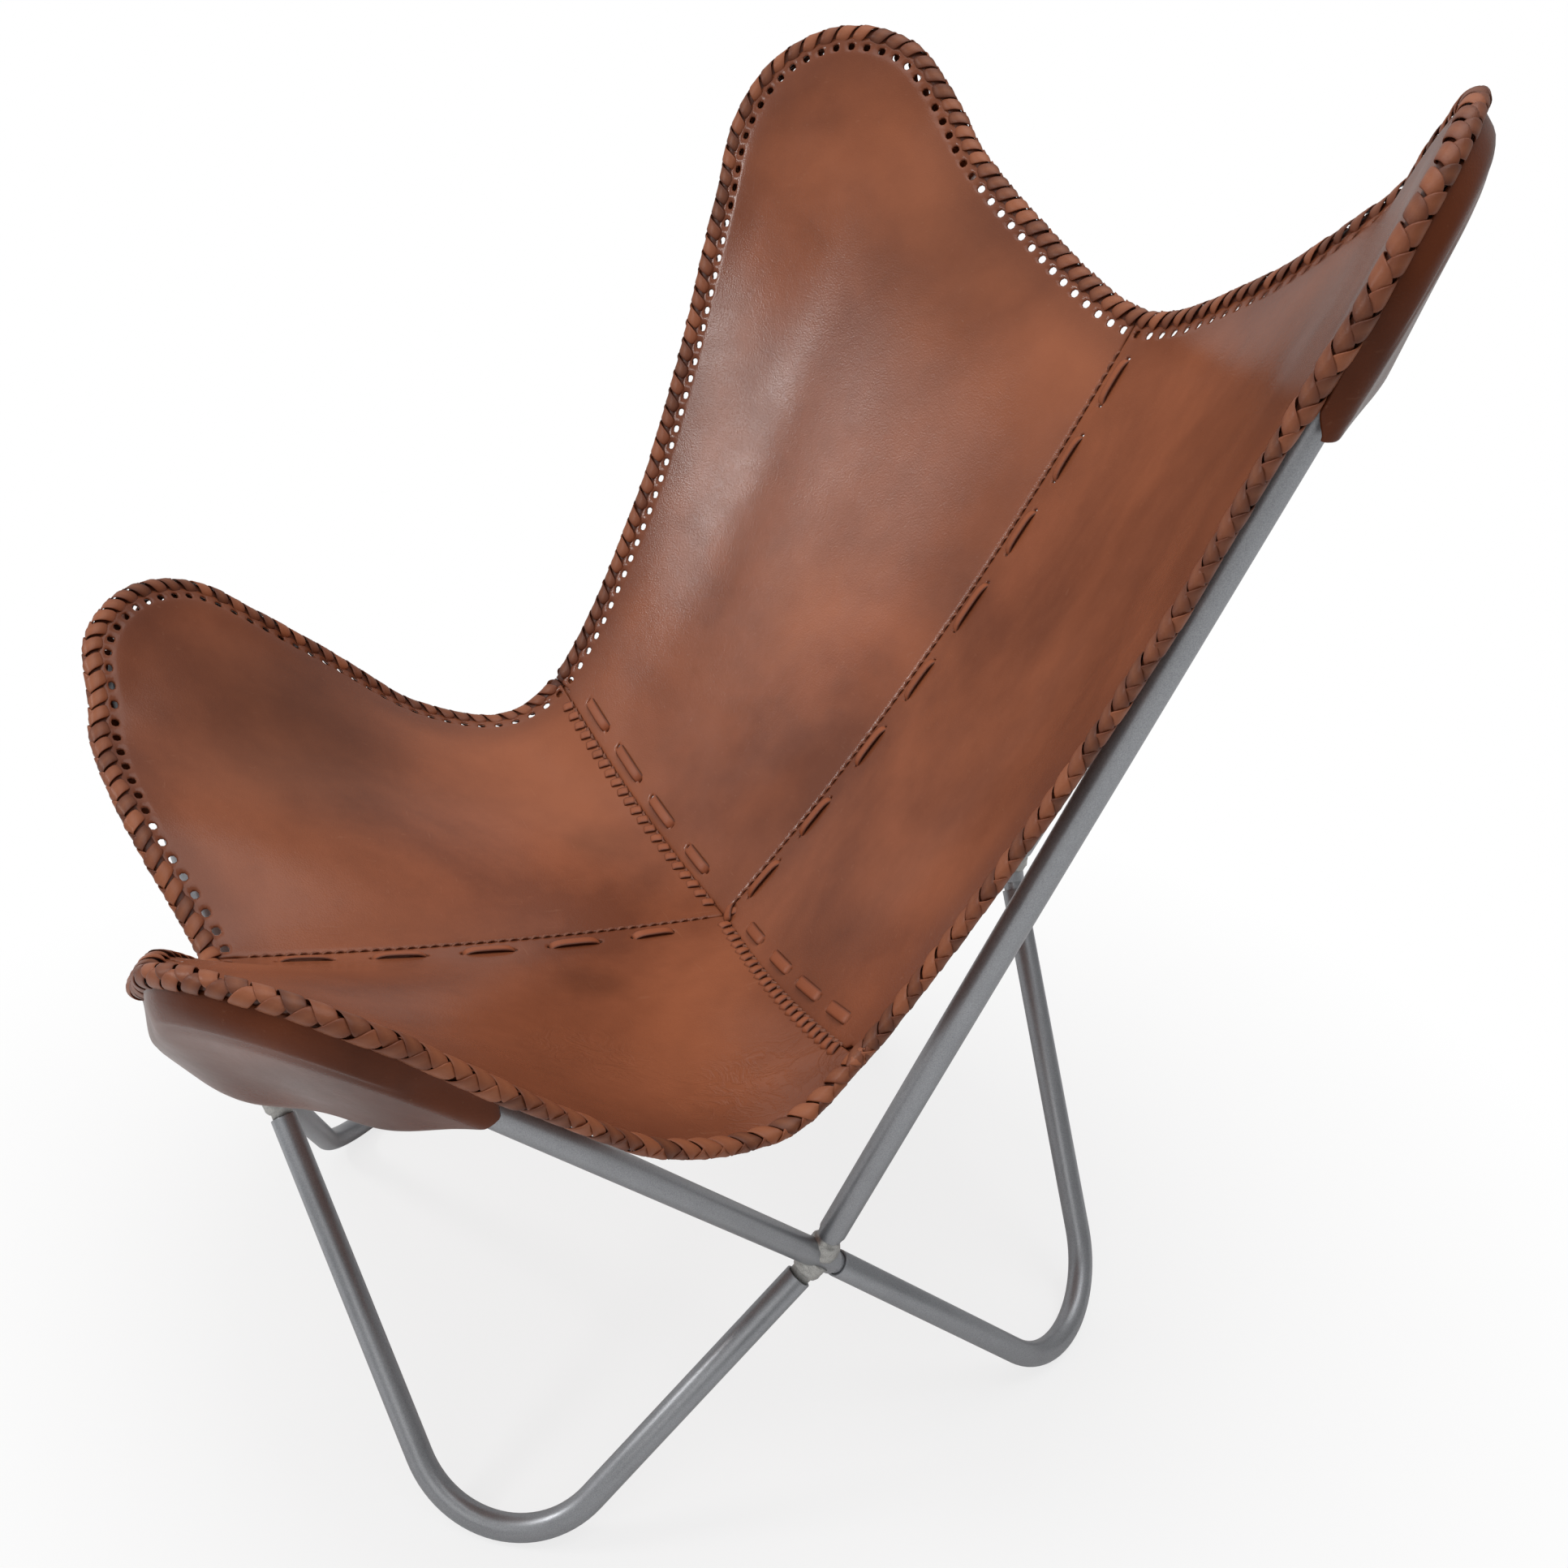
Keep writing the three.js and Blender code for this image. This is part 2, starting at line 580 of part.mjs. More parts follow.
// A closed sheet of even thickness on a grid of points; at a seam its thickness is turned into the seam
function sheetGeometry(grid, thickness, mitre) {
  const rows = grid.length;
  const columns = grid[0].length;
  const at = (i, j) => grid[THREE.MathUtils.clamp(i, 0, rows - 1)][THREE.MathUtils.clamp(j, 0, columns - 1)];
  const positions = [];
  for (const face of [1, -1]) {
    for (let i = 0; i < rows; i++) {
      for (let j = 0; j < columns; j++) {
        const down = at(i + 1, j).clone().sub(at(i - 1, j));
        const across = at(i, j + 1).clone().sub(at(i, j - 1));
        const normal = mitre(down.cross(across).normalize(), i, j).normalize();
        positions.push(...step(grid[i][j], normal, (face * thickness) / 2).toArray());
      }
    }
  }
  const index = [];
  const quad = (a, b, c, d) => index.push(a, b, c, a, c, d);
  const top = (i, j) => i * columns + j;
  const bottom = (i, j) => rows * columns + top(i, j);
  for (let i = 0; i < rows - 1; i++) {
    for (let j = 0; j < columns - 1; j++) {
      quad(top(i, j), top(i + 1, j), top(i + 1, j + 1), top(i, j + 1));
      quad(bottom(i, j), bottom(i, j + 1), bottom(i + 1, j + 1), bottom(i + 1, j));
    }
    quad(top(i + 1, 0), top(i, 0), bottom(i, 0), bottom(i + 1, 0));
    quad(top(i, columns - 1), top(i + 1, columns - 1), bottom(i + 1, columns - 1), bottom(i, columns - 1));
  }
  for (let j = 0; j < columns - 1; j++) {
    quad(top(0, j), top(0, j + 1), bottom(0, j + 1), bottom(0, j));
    quad(top(rows - 1, j + 1), top(rows - 1, j), bottom(rows - 1, j), bottom(rows - 1, j + 1));
  }
  return closedGeometry(positions, index);
}

// A closed skin whose faces are turned outward
function closedGeometry(positions, index) {
  const corner = (k) => new THREE.Vector3().fromArray(positions, 3 * index[k]);
  let volume = 0;
  for (let k = 0; k < index.length; k += 3) {
    volume += corner(k).dot(corner(k + 1).cross(corner(k + 2)));
  }
  const geometry = new THREE.BufferGeometry();
  geometry.setAttribute("position", new THREE.Float32BufferAttribute(positions, 3));
  geometry.setIndex(volume < 0 ? index.reverse() : index);
  geometry.computeVertexNormals();
  return geometry;
}

// The braid binds the panel's laced edge: stations run from the centre seam round the ear to the side seam
function edgeStations(grid) {
  const last = PANEL_CELLS;
  const centreRun = grid[last].map((point, j) => [point, grid[last - 1][Math.min(j, last - 1)]]);
  const sideRun = grid.map((row, i) => [row[last], row[last - 1]]).slice(0, last);
  const pairs = [...centreRun, ...sideRun.reverse()];
  return pairs.map(([point, inner], k) => {
    const before = pairs[Math.max(k - 1, 0)][0];
    const after = pairs[Math.min(k + 1, pairs.length - 1)][0];
    const tangent = along(before, after);
    const outward = point.clone().sub(inner);
    outward.addScaledVector(tangent, -outward.dot(tangent)).normalize();
    const across = outward.clone().cross(tangent);
    if (k === 0) [outward, across].forEach((way) => way.projectOnPlane(CENTRE_SEAM_FACE).normalize());
    if (k === 2 * last) [outward, across].forEach((way) => way.projectOnPlane(sideSeamFace).normalize());
    const centre = step(point, outward, BRAID_WIDTH / 2 + JOINT_GAP);
    return { centre, outward, across };
  });
}

function braidGeometry(stations) {
  const positions = [];
  const index = [];
  const sides = BRAID_SIDES;
  stations.forEach(({ centre, outward, across }) => {
    for (let k = 0; k < sides; k++) {
      const angle = (2 * Math.PI * (k + 0.5)) / sides;
      const point = step(centre, outward, (BRAID_WIDTH / 2) * Math.cos(angle));
      positions.push(...point.addScaledVector(across, (BRAID_THICKNESS / 2) * Math.sin(angle)).toArray());
    }
  });
  const last = stations.length - 1;
  for (let k = 0; k < sides; k++) {
    const next = (k + 1) % sides;
    for (let i = 0; i < last; i++) {
      const [a, b] = [i * sides, (i + 1) * sides];
      index.push(a + k, a + next, b + next, a + k, b + next, b + k);
    }
    if (k > 0 && k < sides - 1) {
      index.push(0, k + 1, k);
      index.push(last * sides, last * sides + k, last * sides + k + 1);
    }
  }
  return closedGeometry(positions, index);
}

// A pocket is a second sheet outside the ear tube, from the braid round the ear to a loose hem
function pocketGrid(ear, stations, pocket) {
  const outside = ear.inside.clone().negate();
  const braidFlat = (BRAID_THICKNESS / 2) * Math.cos(Math.PI / BRAID_SIDES);
  const under = braidFlat + JOINT_GAP + LEATHER_THICKNESS / 2;
  const hemBelow = (point) => (ear.isCentreSide(point) ? pocket.centreLength : pocket.sideLength);
  const rim = stations
    .filter(({ centre }) => ear.belowTip(centre) < hemBelow(centre))
    .map(({ centre, outward, across }) => {
      const below = across.dot(outside) < 0 ? -under : under;
      return step(step(centre, outward, POCKET_EASE), across, below);
    });
  const last = rim.length - 1;
  const drop = (point) => step(point, ear.path.toTip, ear.belowTip(point) - hemBelow(point) - HEM_MARGIN);
  const [hemStart, hemEnd] = [drop(rim[0]), drop(rim[last])];
  return rim.map((point, i) => {
    const place = i / last;
    const middle = Math.sin(Math.PI * place);
    const hem = step(hemStart.clone().lerp(hemEnd, place), ear.path.toTip, -pocket.hemDrop * middle);
    const wave = Math.sin(Math.PI * pocket.waves * place) ** 2;
    const swell = mix(1 - HEM_WAVE_SHARE, 1, wave) * middle;
    const flare = mix(pocket.centreFlare, pocket.sideFlare, place) * swell;
    const rimHeight = ear.heightOf(point);
    const reach = Math.max(POCKET_DRAPE_REACH, POCKET_SLOPE * (rimHeight + POCKET_HEIGHT));
    const span = point.distanceTo(hem);
    return Array.from({ length: POCKET_CELLS + 1 }, (_, j) => {
      const share = (j / POCKET_CELLS) ** POCKET_ROW_GROWTH;
      const spot = point.clone().lerp(hem, share);
      const flat = mix(rimHeight, -POCKET_HEIGHT, smooth(share * span, 0, reach));
      const laid = step(spot, ear.inside, flat - flare * share - ear.heightOf(spot));
      return ear.drape(laid, outside, POCKET_HEIGHT, POCKET_DRAPE_REACH);
    });
  });
}

// A lace weaves in and out of its panel beside a seam: long stitches on the sitter's side, short ones behind
function seamLaceSheet(surface, ear, beside, length, clearance) {
  const spot = (share, inset) => (beside === "centre" ? surface(share, inset) : surface(inset, share));
  const inFrom = (share, distance) => {
    const unit = spot(share, 0).distanceTo(spot(share, SEAM_PROBE)) / SEAM_PROBE;
    return spot(share, distance / unit);
  };
  const apart = SEAM_LACE_PITCH - SEAM_STITCH;
  const stitches = Math.floor((length - 2 * SEAM_LACE_MARGIN + apart) / SEAM_LACE_PITCH);
  const wovenLength = stitches * SEAM_LACE_PITCH - apart;
  const first = (length - wovenLength) / 2;
  const height = LEATHER_THICKNESS / 2 + SEAM_LACE_THICKNESS / 2 + JOINT_GAP;
  const half = SEAM_LACE_WIDTH / 2 + clearance;
  const places = [];
  for (let k = 0; k < stitches; k++) {
    const start = first + k * SEAM_LACE_PITCH;
    places.push([start - SEAM_LACE_TAIL - clearance, -height], [start, -height], [start + SEAM_DIVE, height]);
    places.push([start + SEAM_STITCH / 2, height], [start + SEAM_STITCH - SEAM_DIVE, height]);
    places.push([start + SEAM_STITCH, -height], [start + SEAM_STITCH + SEAM_LACE_TAIL + clearance, -height]);
  }
  const rows = places.map(([distance, lift]) => {
    const share = distance / length;
    const edges = [SEAM_LACE_INSET - half, SEAM_LACE_INSET + half].map((inset) => inFrom(share, inset));
    const ahead = inFrom(share + SEAM_PROBE, SEAM_LACE_INSET).sub(inFrom(share, SEAM_LACE_INSET));
    const facing = ahead.cross(edges[1].clone().sub(edges[0])).normalize();
    if (facing.dot(ear.inside) < 0) facing.negate();
    return edges.map((point) => step(point, facing, lift));
  });
  return sheetGeometry(rows, SEAM_LACE_THICKNESS + 2 * clearance, (normal) => normal);
}

// Each left piece has a mirrored twin on the right
const HANDS = { left: 1, right: -1 };
function addPair(corner, piece, geometry, finish) {
  for (const [hand, sign] of Object.entries(HANDS)) {
    addMesh(`${corner}_${hand}_${piece}`, geometry, finish).scale.x = sign;
  }
}

// Panels are slotted for the seam laces that weave through them
function addPanels(corner, sheet, surface, ear, lengths) {
  for (const [hand, sign] of Object.entries(HANDS)) {
    let panel = solidOf(sheet);
    for (const [name, lace] of Object.entries(SEAM_LACES)) {
      if (lace.panel !== `${corner}_${hand}`) continue;
      const length = lengths[lace.beside];
      panel = panel.subtract(solidOf(seamLaceSheet(surface, ear, lace.beside, length, SLOT_CLEARANCE)));
      addMesh(`${name}_lace`, seamLaceSheet(surface, ear, lace.beside, length, 0), DARK_LACE).scale.x = sign;
    }
    addMesh(`${corner}_${hand}_panel`, geometryOf(panel), COGNAC_LEATHER).scale.x = sign;
  }
}

function addSlingCorner(corner, ear, edgeShare, tipShare, centreSeam, sideFace, pocket) {
  const nudge = CENTRE_SEAM_FACE.clone().add(sideFace).multiplyScalar(JOINT_GAP / 2);
  const shifted = (run) => (share) => run(share).add(nudge);
  const centreEdge = shifted(evenRun(leatherEdge, edgeShare, tipShare));
  const sideEdge = shifted(evenRun(leatherEdge, notchShare, tipShare));
  const surface = panelSurface(ear, shifted(centreSeam), shifted(sideSeam), sideEdge, centreEdge);
  const grid = panelGrid(surface);
  const seamMitre = (normal, i, j) => {
    if (j === 0) normal.projectOnPlane(CENTRE_SEAM_FACE);
    if (i === 0) normal.projectOnPlane(sideSeamFace);
    return normal;
  };
  const stations = edgeStations(grid);
  const pocketSpots = pocketGrid(ear, stations, pocket);
  const pocketSheet = sheetGeometry(pocketSpots, LEATHER_THICKNESS, (normal) => normal);
  const span = (run) => run(0).distanceTo(run(1));
  const lengths = { centre: span(centreSeam), side: span(sideSeam) };
  addPanels(corner, sheetGeometry(grid, LEATHER_THICKNESS, seamMitre), surface, ear, lengths);
  addPair(corner, "edge_braid", braidGeometry(stations), DARK_LACE);
  addPair(corner, "pocket", pocketSheet, COGNAC_LEATHER);
}

const backDown = vector(0, Math.SQRT1_2, -Math.SQRT1_2);
const backSeam = saggingRun(seatLow, leatherEdge(backTopShare), backDown, BACK_SEAM_SAG);
const frontSeam = saggingRun(seatLow, leatherEdge(frontLipShare), vector(0, 0, -1), FRONT_SEAM_SAG);
const frontFace = sideSeamFace.clone().negate();
addSlingCorner("rear", rear, backTopShare, rearTipShare, backSeam, sideSeamFace, REAR_POCKET);
addSlingCorner("front", front, frontLipShare, frontTipShare, frontSeam, frontFace, FRONT_POCKET);

// The origin is on the floor under the middle of the chair
const middle = new THREE.Box3().setFromObject(chair).getCenter(vector());
for (const mesh of chair.children) mesh.position.set(-middle.x, -middle.y, 0);

export default chair;
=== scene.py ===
"""Leather butterfly sling chair: finished surfaces over the CAD frame, materials, light and camera."""

import bisect
import math
import random

import bmesh
import bpy
from mathutils import Matrix, Vector, noise
from mathutils.bvhtree import BVHTree
from mathutils.geometry import intersect_point_line
from mathutils.kdtree import KDTree


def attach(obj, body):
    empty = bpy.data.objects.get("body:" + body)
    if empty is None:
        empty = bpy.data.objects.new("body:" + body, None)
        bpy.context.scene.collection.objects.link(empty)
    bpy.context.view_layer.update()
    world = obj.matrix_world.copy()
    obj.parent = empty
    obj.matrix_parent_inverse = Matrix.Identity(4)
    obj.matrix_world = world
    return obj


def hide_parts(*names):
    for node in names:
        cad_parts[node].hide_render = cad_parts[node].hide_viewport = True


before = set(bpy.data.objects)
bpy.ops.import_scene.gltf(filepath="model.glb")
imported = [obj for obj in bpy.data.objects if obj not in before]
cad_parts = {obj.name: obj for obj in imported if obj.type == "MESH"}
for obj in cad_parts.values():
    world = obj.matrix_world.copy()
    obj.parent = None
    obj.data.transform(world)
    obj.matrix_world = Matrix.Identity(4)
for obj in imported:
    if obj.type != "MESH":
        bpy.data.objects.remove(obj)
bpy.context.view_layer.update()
chance = random.Random(7)

# The layout is drawn about the frame's crossings; the row's origin is under the middle of the whole chair
LAYOUT_SHIFT = Vector((0.0, 0.003078, 0.0))

# Tube stock
TUBE_RADIUS = 0.0095
TUBE_WALL = 0.0015
BORE_RADIUS = TUBE_RADIUS - TUBE_WALL
SPIGOT_CLEARANCE = 0.0003
SPIGOT_RADIUS = BORE_RADIUS - SPIGOT_CLEARANCE
EAR_BEND_RADIUS = 0.070
FOOT_BEND_RADIUS = 0.076
FOOT_FLAT_DEPTH = 0.0005
TUBE_SIDES = 40
BEND_STEPS = 28
RIM_BEVEL = 0.0004
RIM_BEVEL_ANGLE = math.radians(50)

# Crossings
SPIGOT_INSERTION = 0.032
CARRIER_OVERRUN = 0.014
PLUG_GAP_AT_CARRIER = 0.004
PLUG_GAP_AT_FOOT = 0.003
PLUG_BEND_RADIUS = 0.012
PLUG_BEND_STEPS = 6
EAR_LEG_STANDOFF = 0.018
FOOT_LEG_STANDOFF = 0.020
RIM_ROUNDING = 0.006
WELD_WIDTH = 0.0034
WELD_START = 0.004
WELD_TOP = 0.016
WELD_RINGS = 14
WELD_LUMP = 0.0012
WELD_LUMP_SCALE = 260
WELD_FADE = 0.004

# Rounded tube rim: share of its length and narrowing at each step
RIM_STEPS = ((0.35, 0.93), (0.4, 0.95), (0.25, 0.965))

# Where the two legs of each left-hand loop would meet
EAR_CORNERS = {"rear": (0.427, 0.351, 1.144), "front": (0.3295, -0.380, 0.585)}
FOOT_CORNERS = {"rear": (0.247, 0.285, 0), "front": (0.256, -0.233, 0)}

# Sling leather
LEATHER_THICKNESS = 0.003
BACK_SEAM_SAG = 0.018
FRONT_SEAM_SAG = 0.006
SIDE_SEAM_SAG = 0.012
PANEL_CLEARANCE = 0.0016
POCKET_CLEARANCE = 0.0007
PANEL_HEIGHT = TUBE_RADIUS + PANEL_CLEARANCE + LEATHER_THICKNESS / 2
POCKET_HEIGHT = TUBE_RADIUS + POCKET_CLEARANCE + LEATHER_THICKNESS / 2
DRAPE_SHOULDER = 0.0025
PANEL_DRAPE_REACH = 0.048
STRETCH_ROUNDS = 160
SETTLE_ROUNDS = 14
SURFACE_CELLS = 110
RIPPLE_HEIGHT = 0.0009
RIPPLE_SCALE = 5
CALM_AT_SEAM = 5
CALM_AT_EDGE = 9
POCKET_DRAPE_REACH = 0.026

# Lace line round an ear: angle from the tip, margin out from the tube's centreline, height to the sitter
FRONT_TIP_LACE = [
    (-70, 0.0285, 0.008), (-35, 0.0265, 0.008), (0, 0.025, 0.008), (35, 0.0265, 0.008), (70, 0.0285, 0.008)]
REAR_TIP_LACE = [
    (-70, 0.0235, 0.008), (-35, 0.024, 0.008), (0, 0.025, 0.008), (35, 0.0265, 0.008), (70, 0.0285, 0.008)]

# Lace line beside the legs: distance below the tip, margin and height
REAR_CENTRE_LACE = [(0.163, 0.089, 0.052), (0.090, 0.046, 0.024)]
REAR_SIDE_LACE = [(0.108, 0.022, 0.008), (0.248, 0.020, 0.012), (0.378, 0.025, 0.021)]
FRONT_SIDE_LACE = [(0.198, 0.050, 0.014), (0.120, 0.044, 0.006)]
FRONT_CENTRE_LACE = [(0.073, 0.039, 0.011), (0.143, 0.056, 0.038)]

# Laced edge
LACE_PITCH = 0.015
HOLE_WIDTH = 0.0058
HOLE_START = 0.0075
HOLE_END = 0.0137
EDGE_INSET = 0.002
EDGE_SUPPORT = 0.0045
BAND_DEPTH = 0.0175
BRAID_HALF_WIDTH = 0.0078
BRAID_HALF_THICKNESS = 0.0043
STRAP_WIDTH = 0.0116
STRAP_THICKNESS = 0.0014
STRAP_START_ANGLE = math.radians(152)
STRAP_END_ANGLE = math.radians(-38)
STRAP_SLANT = 1.15
STRAP_SLANT_START = 0.1
STRAP_EDGE_SINK = 0.0005
STRAP_JITTER = 0.0004
STRAP_SHIFT = 0.0007
STRAP_WIDTH_SPREAD = (0.9, 1.06)
STRAP_RIM_CREST = 0.15
CORE_DEPTH = 0.0023
CORE_SIDES = 10

# A braid strap from end to end: its lift above the braid and its share of the full width
STRAP_LIFTS = (-0.0016, 0.0002, 0.0006, 0.0008, 0.0007, 0.0003, -0.0004, -0.0016)
STRAP_WIDTHS = (0.6, 0.85, 0.98, 1.0, 1.0, 0.95, 0.8, 0.5)

# Pockets
REAR_POCKET = {
    "side": 0.108, "centre": 0.084, "drop": 0.002,
    "side_flare": 0.014, "centre_flare": 0.014, "waves": 1}
FRONT_POCKET = {
    "side": 0.072, "centre": 0.103, "drop": 0.030,
    "side_flare": 0.010, "centre_flare": 0.028, "waves": 2}
POCKET_UNDER = 0.0030
POCKET_HOLE_END = 0.0165
POCKET_BRAID_EXTRA = 0.0015
POCKET_BRAID_FADE = 1.5 * LACE_PITCH
HEM_MARGIN = 0.010
HEM_WAVE_SHARE = 0.4
POCKET_SLOPE = 1.5
POCKET_ROWS = 14
POCKET_ROW_GROWTH = 1.25

# Seams
SEAM_LACE_WIDTH = 0.0095
SEAM_LACE_THICKNESS = 0.0016
SEAM_LACE_INSET = 0.014
SEAM_LACE_PITCH = 0.064
SEAM_LACE_MARGIN = 0.026
SEAM_STITCH = 0.038
SLOT_INSET = 0.0021
LOOP_PITCH = 0.0125
LOOP_REACH = 0.0095
LOOP_LEAN = 0.003
LOOP_WIDTH = 0.0085
KNOT_WIDTH = 0.0085
KNOT_ENDS = [
    (0.0, (0.001, -0.004, 0.0), (0.013, 0.018, 0.0)),
    (0.0016, (0.014, 0.001, 0.0), (0.001, 0.017, 0.0))]
STITCH_WIDTH = 0.0026
STITCH_THICKNESS = 0.0014
STITCH_PITCH = 0.0085
STITCH_REACH = 0.0075
STITCH_SKEW = 0.75
FLAT_STRAP_COLUMNS = 4
FLAT_STRAP_CROWN = 0.0004
FLAT_STRAP_END_WIDTH = 0.85
FLAT_STRAP_CREST = 0.5
ALLOWANCE_WIDTH = 0.022
ALLOWANCE_DEPTH = 0.0032
ALLOWANCE_STEPS = 40

# Heights of the flat straps above the leather, from end to end
SEAM_LACE_RISE = (-0.0034, 0.0004, 0.0018, 0.0020, 0.0020, 0.0018, 0.0004, -0.0034)
STITCH_RISE = (-0.0016, 0.0003, 0.0007, 0.0003, -0.0016)
LOOP_RISE = (0.0002, 0.0009, 0.0011, 0.0008, -0.0018)
KNOT_RISE = (-0.002, 0.0006, 0.0012, 0.0006, -0.002)

# Tones of the flat straps between the darkest, 0, and the lightest, 1
SEAM_LACE_TONES = (0.55, 0.8)
STITCH_TONES = (0.2, 0.6)
LOOP_TONES = (0.45, 0.8)
KNOT_TONE = 0.6

# Tone spots on the leather, partly the hide's patchy tone and partly painted shade and painted light:
# place, radius and how much lighter or darker; and where it is crumpled
TONE_AND_SHADE_SPOTS = [
    ((-0.215, -0.230, 0.425), 0.140, -0.40), ((-0.090, -0.110, 0.335), 0.120, 0.24),
    ((-0.180, 0.310, 0.750), 0.140, -0.20), ((0.300, 0.270, 0.800), 0.170, -0.24),
    ((-0.060, 0.190, 0.490), 0.090, 0.22), ((0.060, 0.280, 0.580), 0.080, 0.20),
    ((-0.118, -0.012, 0.323), 0.040, -0.22), ((0.080, -0.080, 0.330), 0.040, -0.25),
    ((0.254, 0.061, 0.424), 0.090, 0.24)]
CRUMPLES = [((0.265, -0.030, 0.357), 0.080, 4.0), ((0.190, -0.115, 0.353), 0.060, 2.0)]
SPOT_CORE_SHARE = 0.2
EDGE_DARKNESS = 0.45
POCKET_EDGE_SHARE = 0.6
EDGE_DARK_TO = 0.010
EDGE_FADED_AT = 0.050

# Photographed view
CAMERA_PLACE = Vector((0.9911, -0.3643, 0.9840)) + LAYOUT_SHIFT
CAMERA_FORWARD = Vector((-0.8246, 0.3295, -0.4598))
CAMERA_LENS = 37.33
CAMERA_SHIFT = (0.0525, -0.0032)
CAMERA_SENSOR = 36
FLOOR_HALF_WIDTH = 6

# Soft lamps turned to the chair: place, width and depth, watts and tint
LAMP_TARGET = Vector((0, 0, 0.45))
LAMPS = {
    "window": ((-0.52, -2.05, 1.9), (0.65, 0.2), 14, (1.0, 0.99, 0.98)),
    "ceiling": ((0.2, 0.3, 2.9), (2.4, 2.4), 34, (1.0, 1.0, 1.0)),
    "behind_camera": ((2.2, -1.4, 1.5), (1.6, 1.6), 6, (1.0, 0.98, 0.96))}

UP = Vector((0, 0, 1))
CORNERS = ("rear_left", "rear_right", "front_left", "front_right")


def place(x, y, z):
    return Vector((x, y, z)) + LAYOUT_SHIFT


def along(start, end):
    return (end - start).normalized()


def smooth(x, low, high):
    share = min(max((x - low) / (high - low), 0.0), 1.0)
    return share * share * (3 - 2 * share)


def mix(a, b, share):
    return a + (b - a) * share


def mirrored(point):
    return Vector((-point.x, point.y, point.z))


def colour(red, green, blue):
    """A screen colour, 0 to 255, as the linear colour that shaders take."""
    def linear(value):
        share = value / 255
        return share / 12.92 if share <= 0.04045 else ((share + 0.055) / 1.055) ** 2.4
    return (linear(red), linear(green), linear(blue), 1.0)


# Shader helpers
def add_node(tree, kind, **settings):
    node = tree.nodes.new(kind)
    for key, value in settings.items():
        setattr(node, key, value)
    return node


def feed(socket, value):
    """Links another socket into this one, or gives it a fixed value."""
    if hasattr(value, "is_linked"):
        socket.id_data.links.new(value, socket)
    else:
        socket.default_value = value


def set_inputs(node, **values):
    for key, value in values.items():
        feed(node.inputs[key.replace("_", " ")], value)


def ramp(tree, source, stops):
    node = add_node(tree, "ShaderNodeValToRGB")
    elements = node.color_ramp.elements
    while len(elements) < len(stops):
        elements.new(0.5)
    for element, (position, tint) in zip(elements, stops):
        element.position = position
        element.color = tint
    set_inputs(node, Fac=source)
    return node.outputs["Color"]


def blend(tree, kind, share, first, second):
    """A colour mix; each of share, first and second is a socket or a value."""
    node = add_node(tree, "ShaderNodeMix", data_type="RGBA", blend_type=kind)
    for socket, value in ((node.inputs[0], share), (node.inputs[6], first), (node.inputs[7], second)):
        feed(socket, value)
    return node.outputs[2]


def maths(tree, operation, first, second):
    node = add_node(tree, "ShaderNodeMath", operation=operation)
    for socket, value in zip(node.inputs, (first, second)):
        feed(socket, value)
    return node.outputs[0]


def noise_texture(tree, vector, scale, detail, roughness, distortion=0.0):
    node = add_node(tree, "ShaderNodeTexNoise")
    set_inputs(node, Vector=vector, Scale=scale, Detail=detail, Roughness=roughness, Distortion=distortion)
    return node.outputs["Fac"]


def stretched(tree, vector, turn, scale):
    node = add_node(tree, "ShaderNodeMapping")
    set_inputs(node, Vector=vector, Rotation=turn, Scale=scale)
    return node.outputs["Vector"]


def grey(value):
    return (value, value, value, 1.0)


def worn_leather_group():
    """Patchy tone, handling marks, creases and grain shared by every leather piece."""
    group = bpy.data.node_groups.new("worn_leather", "ShaderNodeTree")
    group.interface.new_socket("Vector", in_out="INPUT", socket_type="NodeSocketVector")
    for name in ("Patch", "Mark", "Sheen", "Height"):
        group.interface.new_socket(name, in_out="OUTPUT", socket_type="NodeSocketFloat")
    start = add_node(group, "NodeGroupInput")
    finish = add_node(group, "NodeGroupOutput")
    vector = start.outputs["Vector"]
    clouds = noise_texture(group, vector, 4.2, 4, 0.5, 0.5)
    mottle = noise_texture(group, vector, 34, 6, 0.7)
    patch = maths(group, "MULTIPLY", clouds, 0.86)
    patch = maths(group, "ADD", patch, maths(group, "MULTIPLY", mottle, 0.14))
    scratch_a = noise_texture(group, stretched(group, vector, (0.3, 0.5, 0.9), (9, 260, 260)), 1, 3, 0.6)
    scratch_b = noise_texture(group, stretched(group, vector, (0.9, -0.4, -0.6), (190, 8, 190)), 1, 3, 0.6)
    scratches = maths(group, "MAXIMUM", scratch_a, scratch_b)
    marks = ramp(group, scratches, [(0.66, grey(0)), (0.76, grey(1))])
    sheen = noise_texture(group, vector, 16, 5, 0.65, 0.6)
    crease_field = noise_texture(group, vector, 13, 3, 0.5, 1.2)
    creases = ramp(group, crease_field, [(0.485, grey(1)), (0.5, grey(0)), (0.515, grey(1))])
    cells = add_node(group, "ShaderNodeTexVoronoi", feature="F1")
    set_inputs(cells, Vector=vector, Scale=760.0)
    grain = maths(group, "MULTIPLY", cells.outputs["Distance"], 0.35)
    height = maths(group, "ADD", grain, maths(group, "MULTIPLY", creases, 0.08))
    height = maths(group, "ADD", height, maths(group, "MULTIPLY", mottle, 0.8))
    height = maths(group, "SUBTRACT", height, maths(group, "MULTIPLY", marks, 0.18))
    set_inputs(finish, Patch=patch, Mark=marks, Sheen=sheen, Height=height)
    return group


def new_material(name):
    material = bpy.data.materials.new(name)
    material.use_nodes = True
    tree = material.node_tree
    shader = tree.nodes["Principled BSDF"]
    spot = add_node(tree, "ShaderNodeTexCoord").outputs["Object"]
    return material, tree, shader, spot


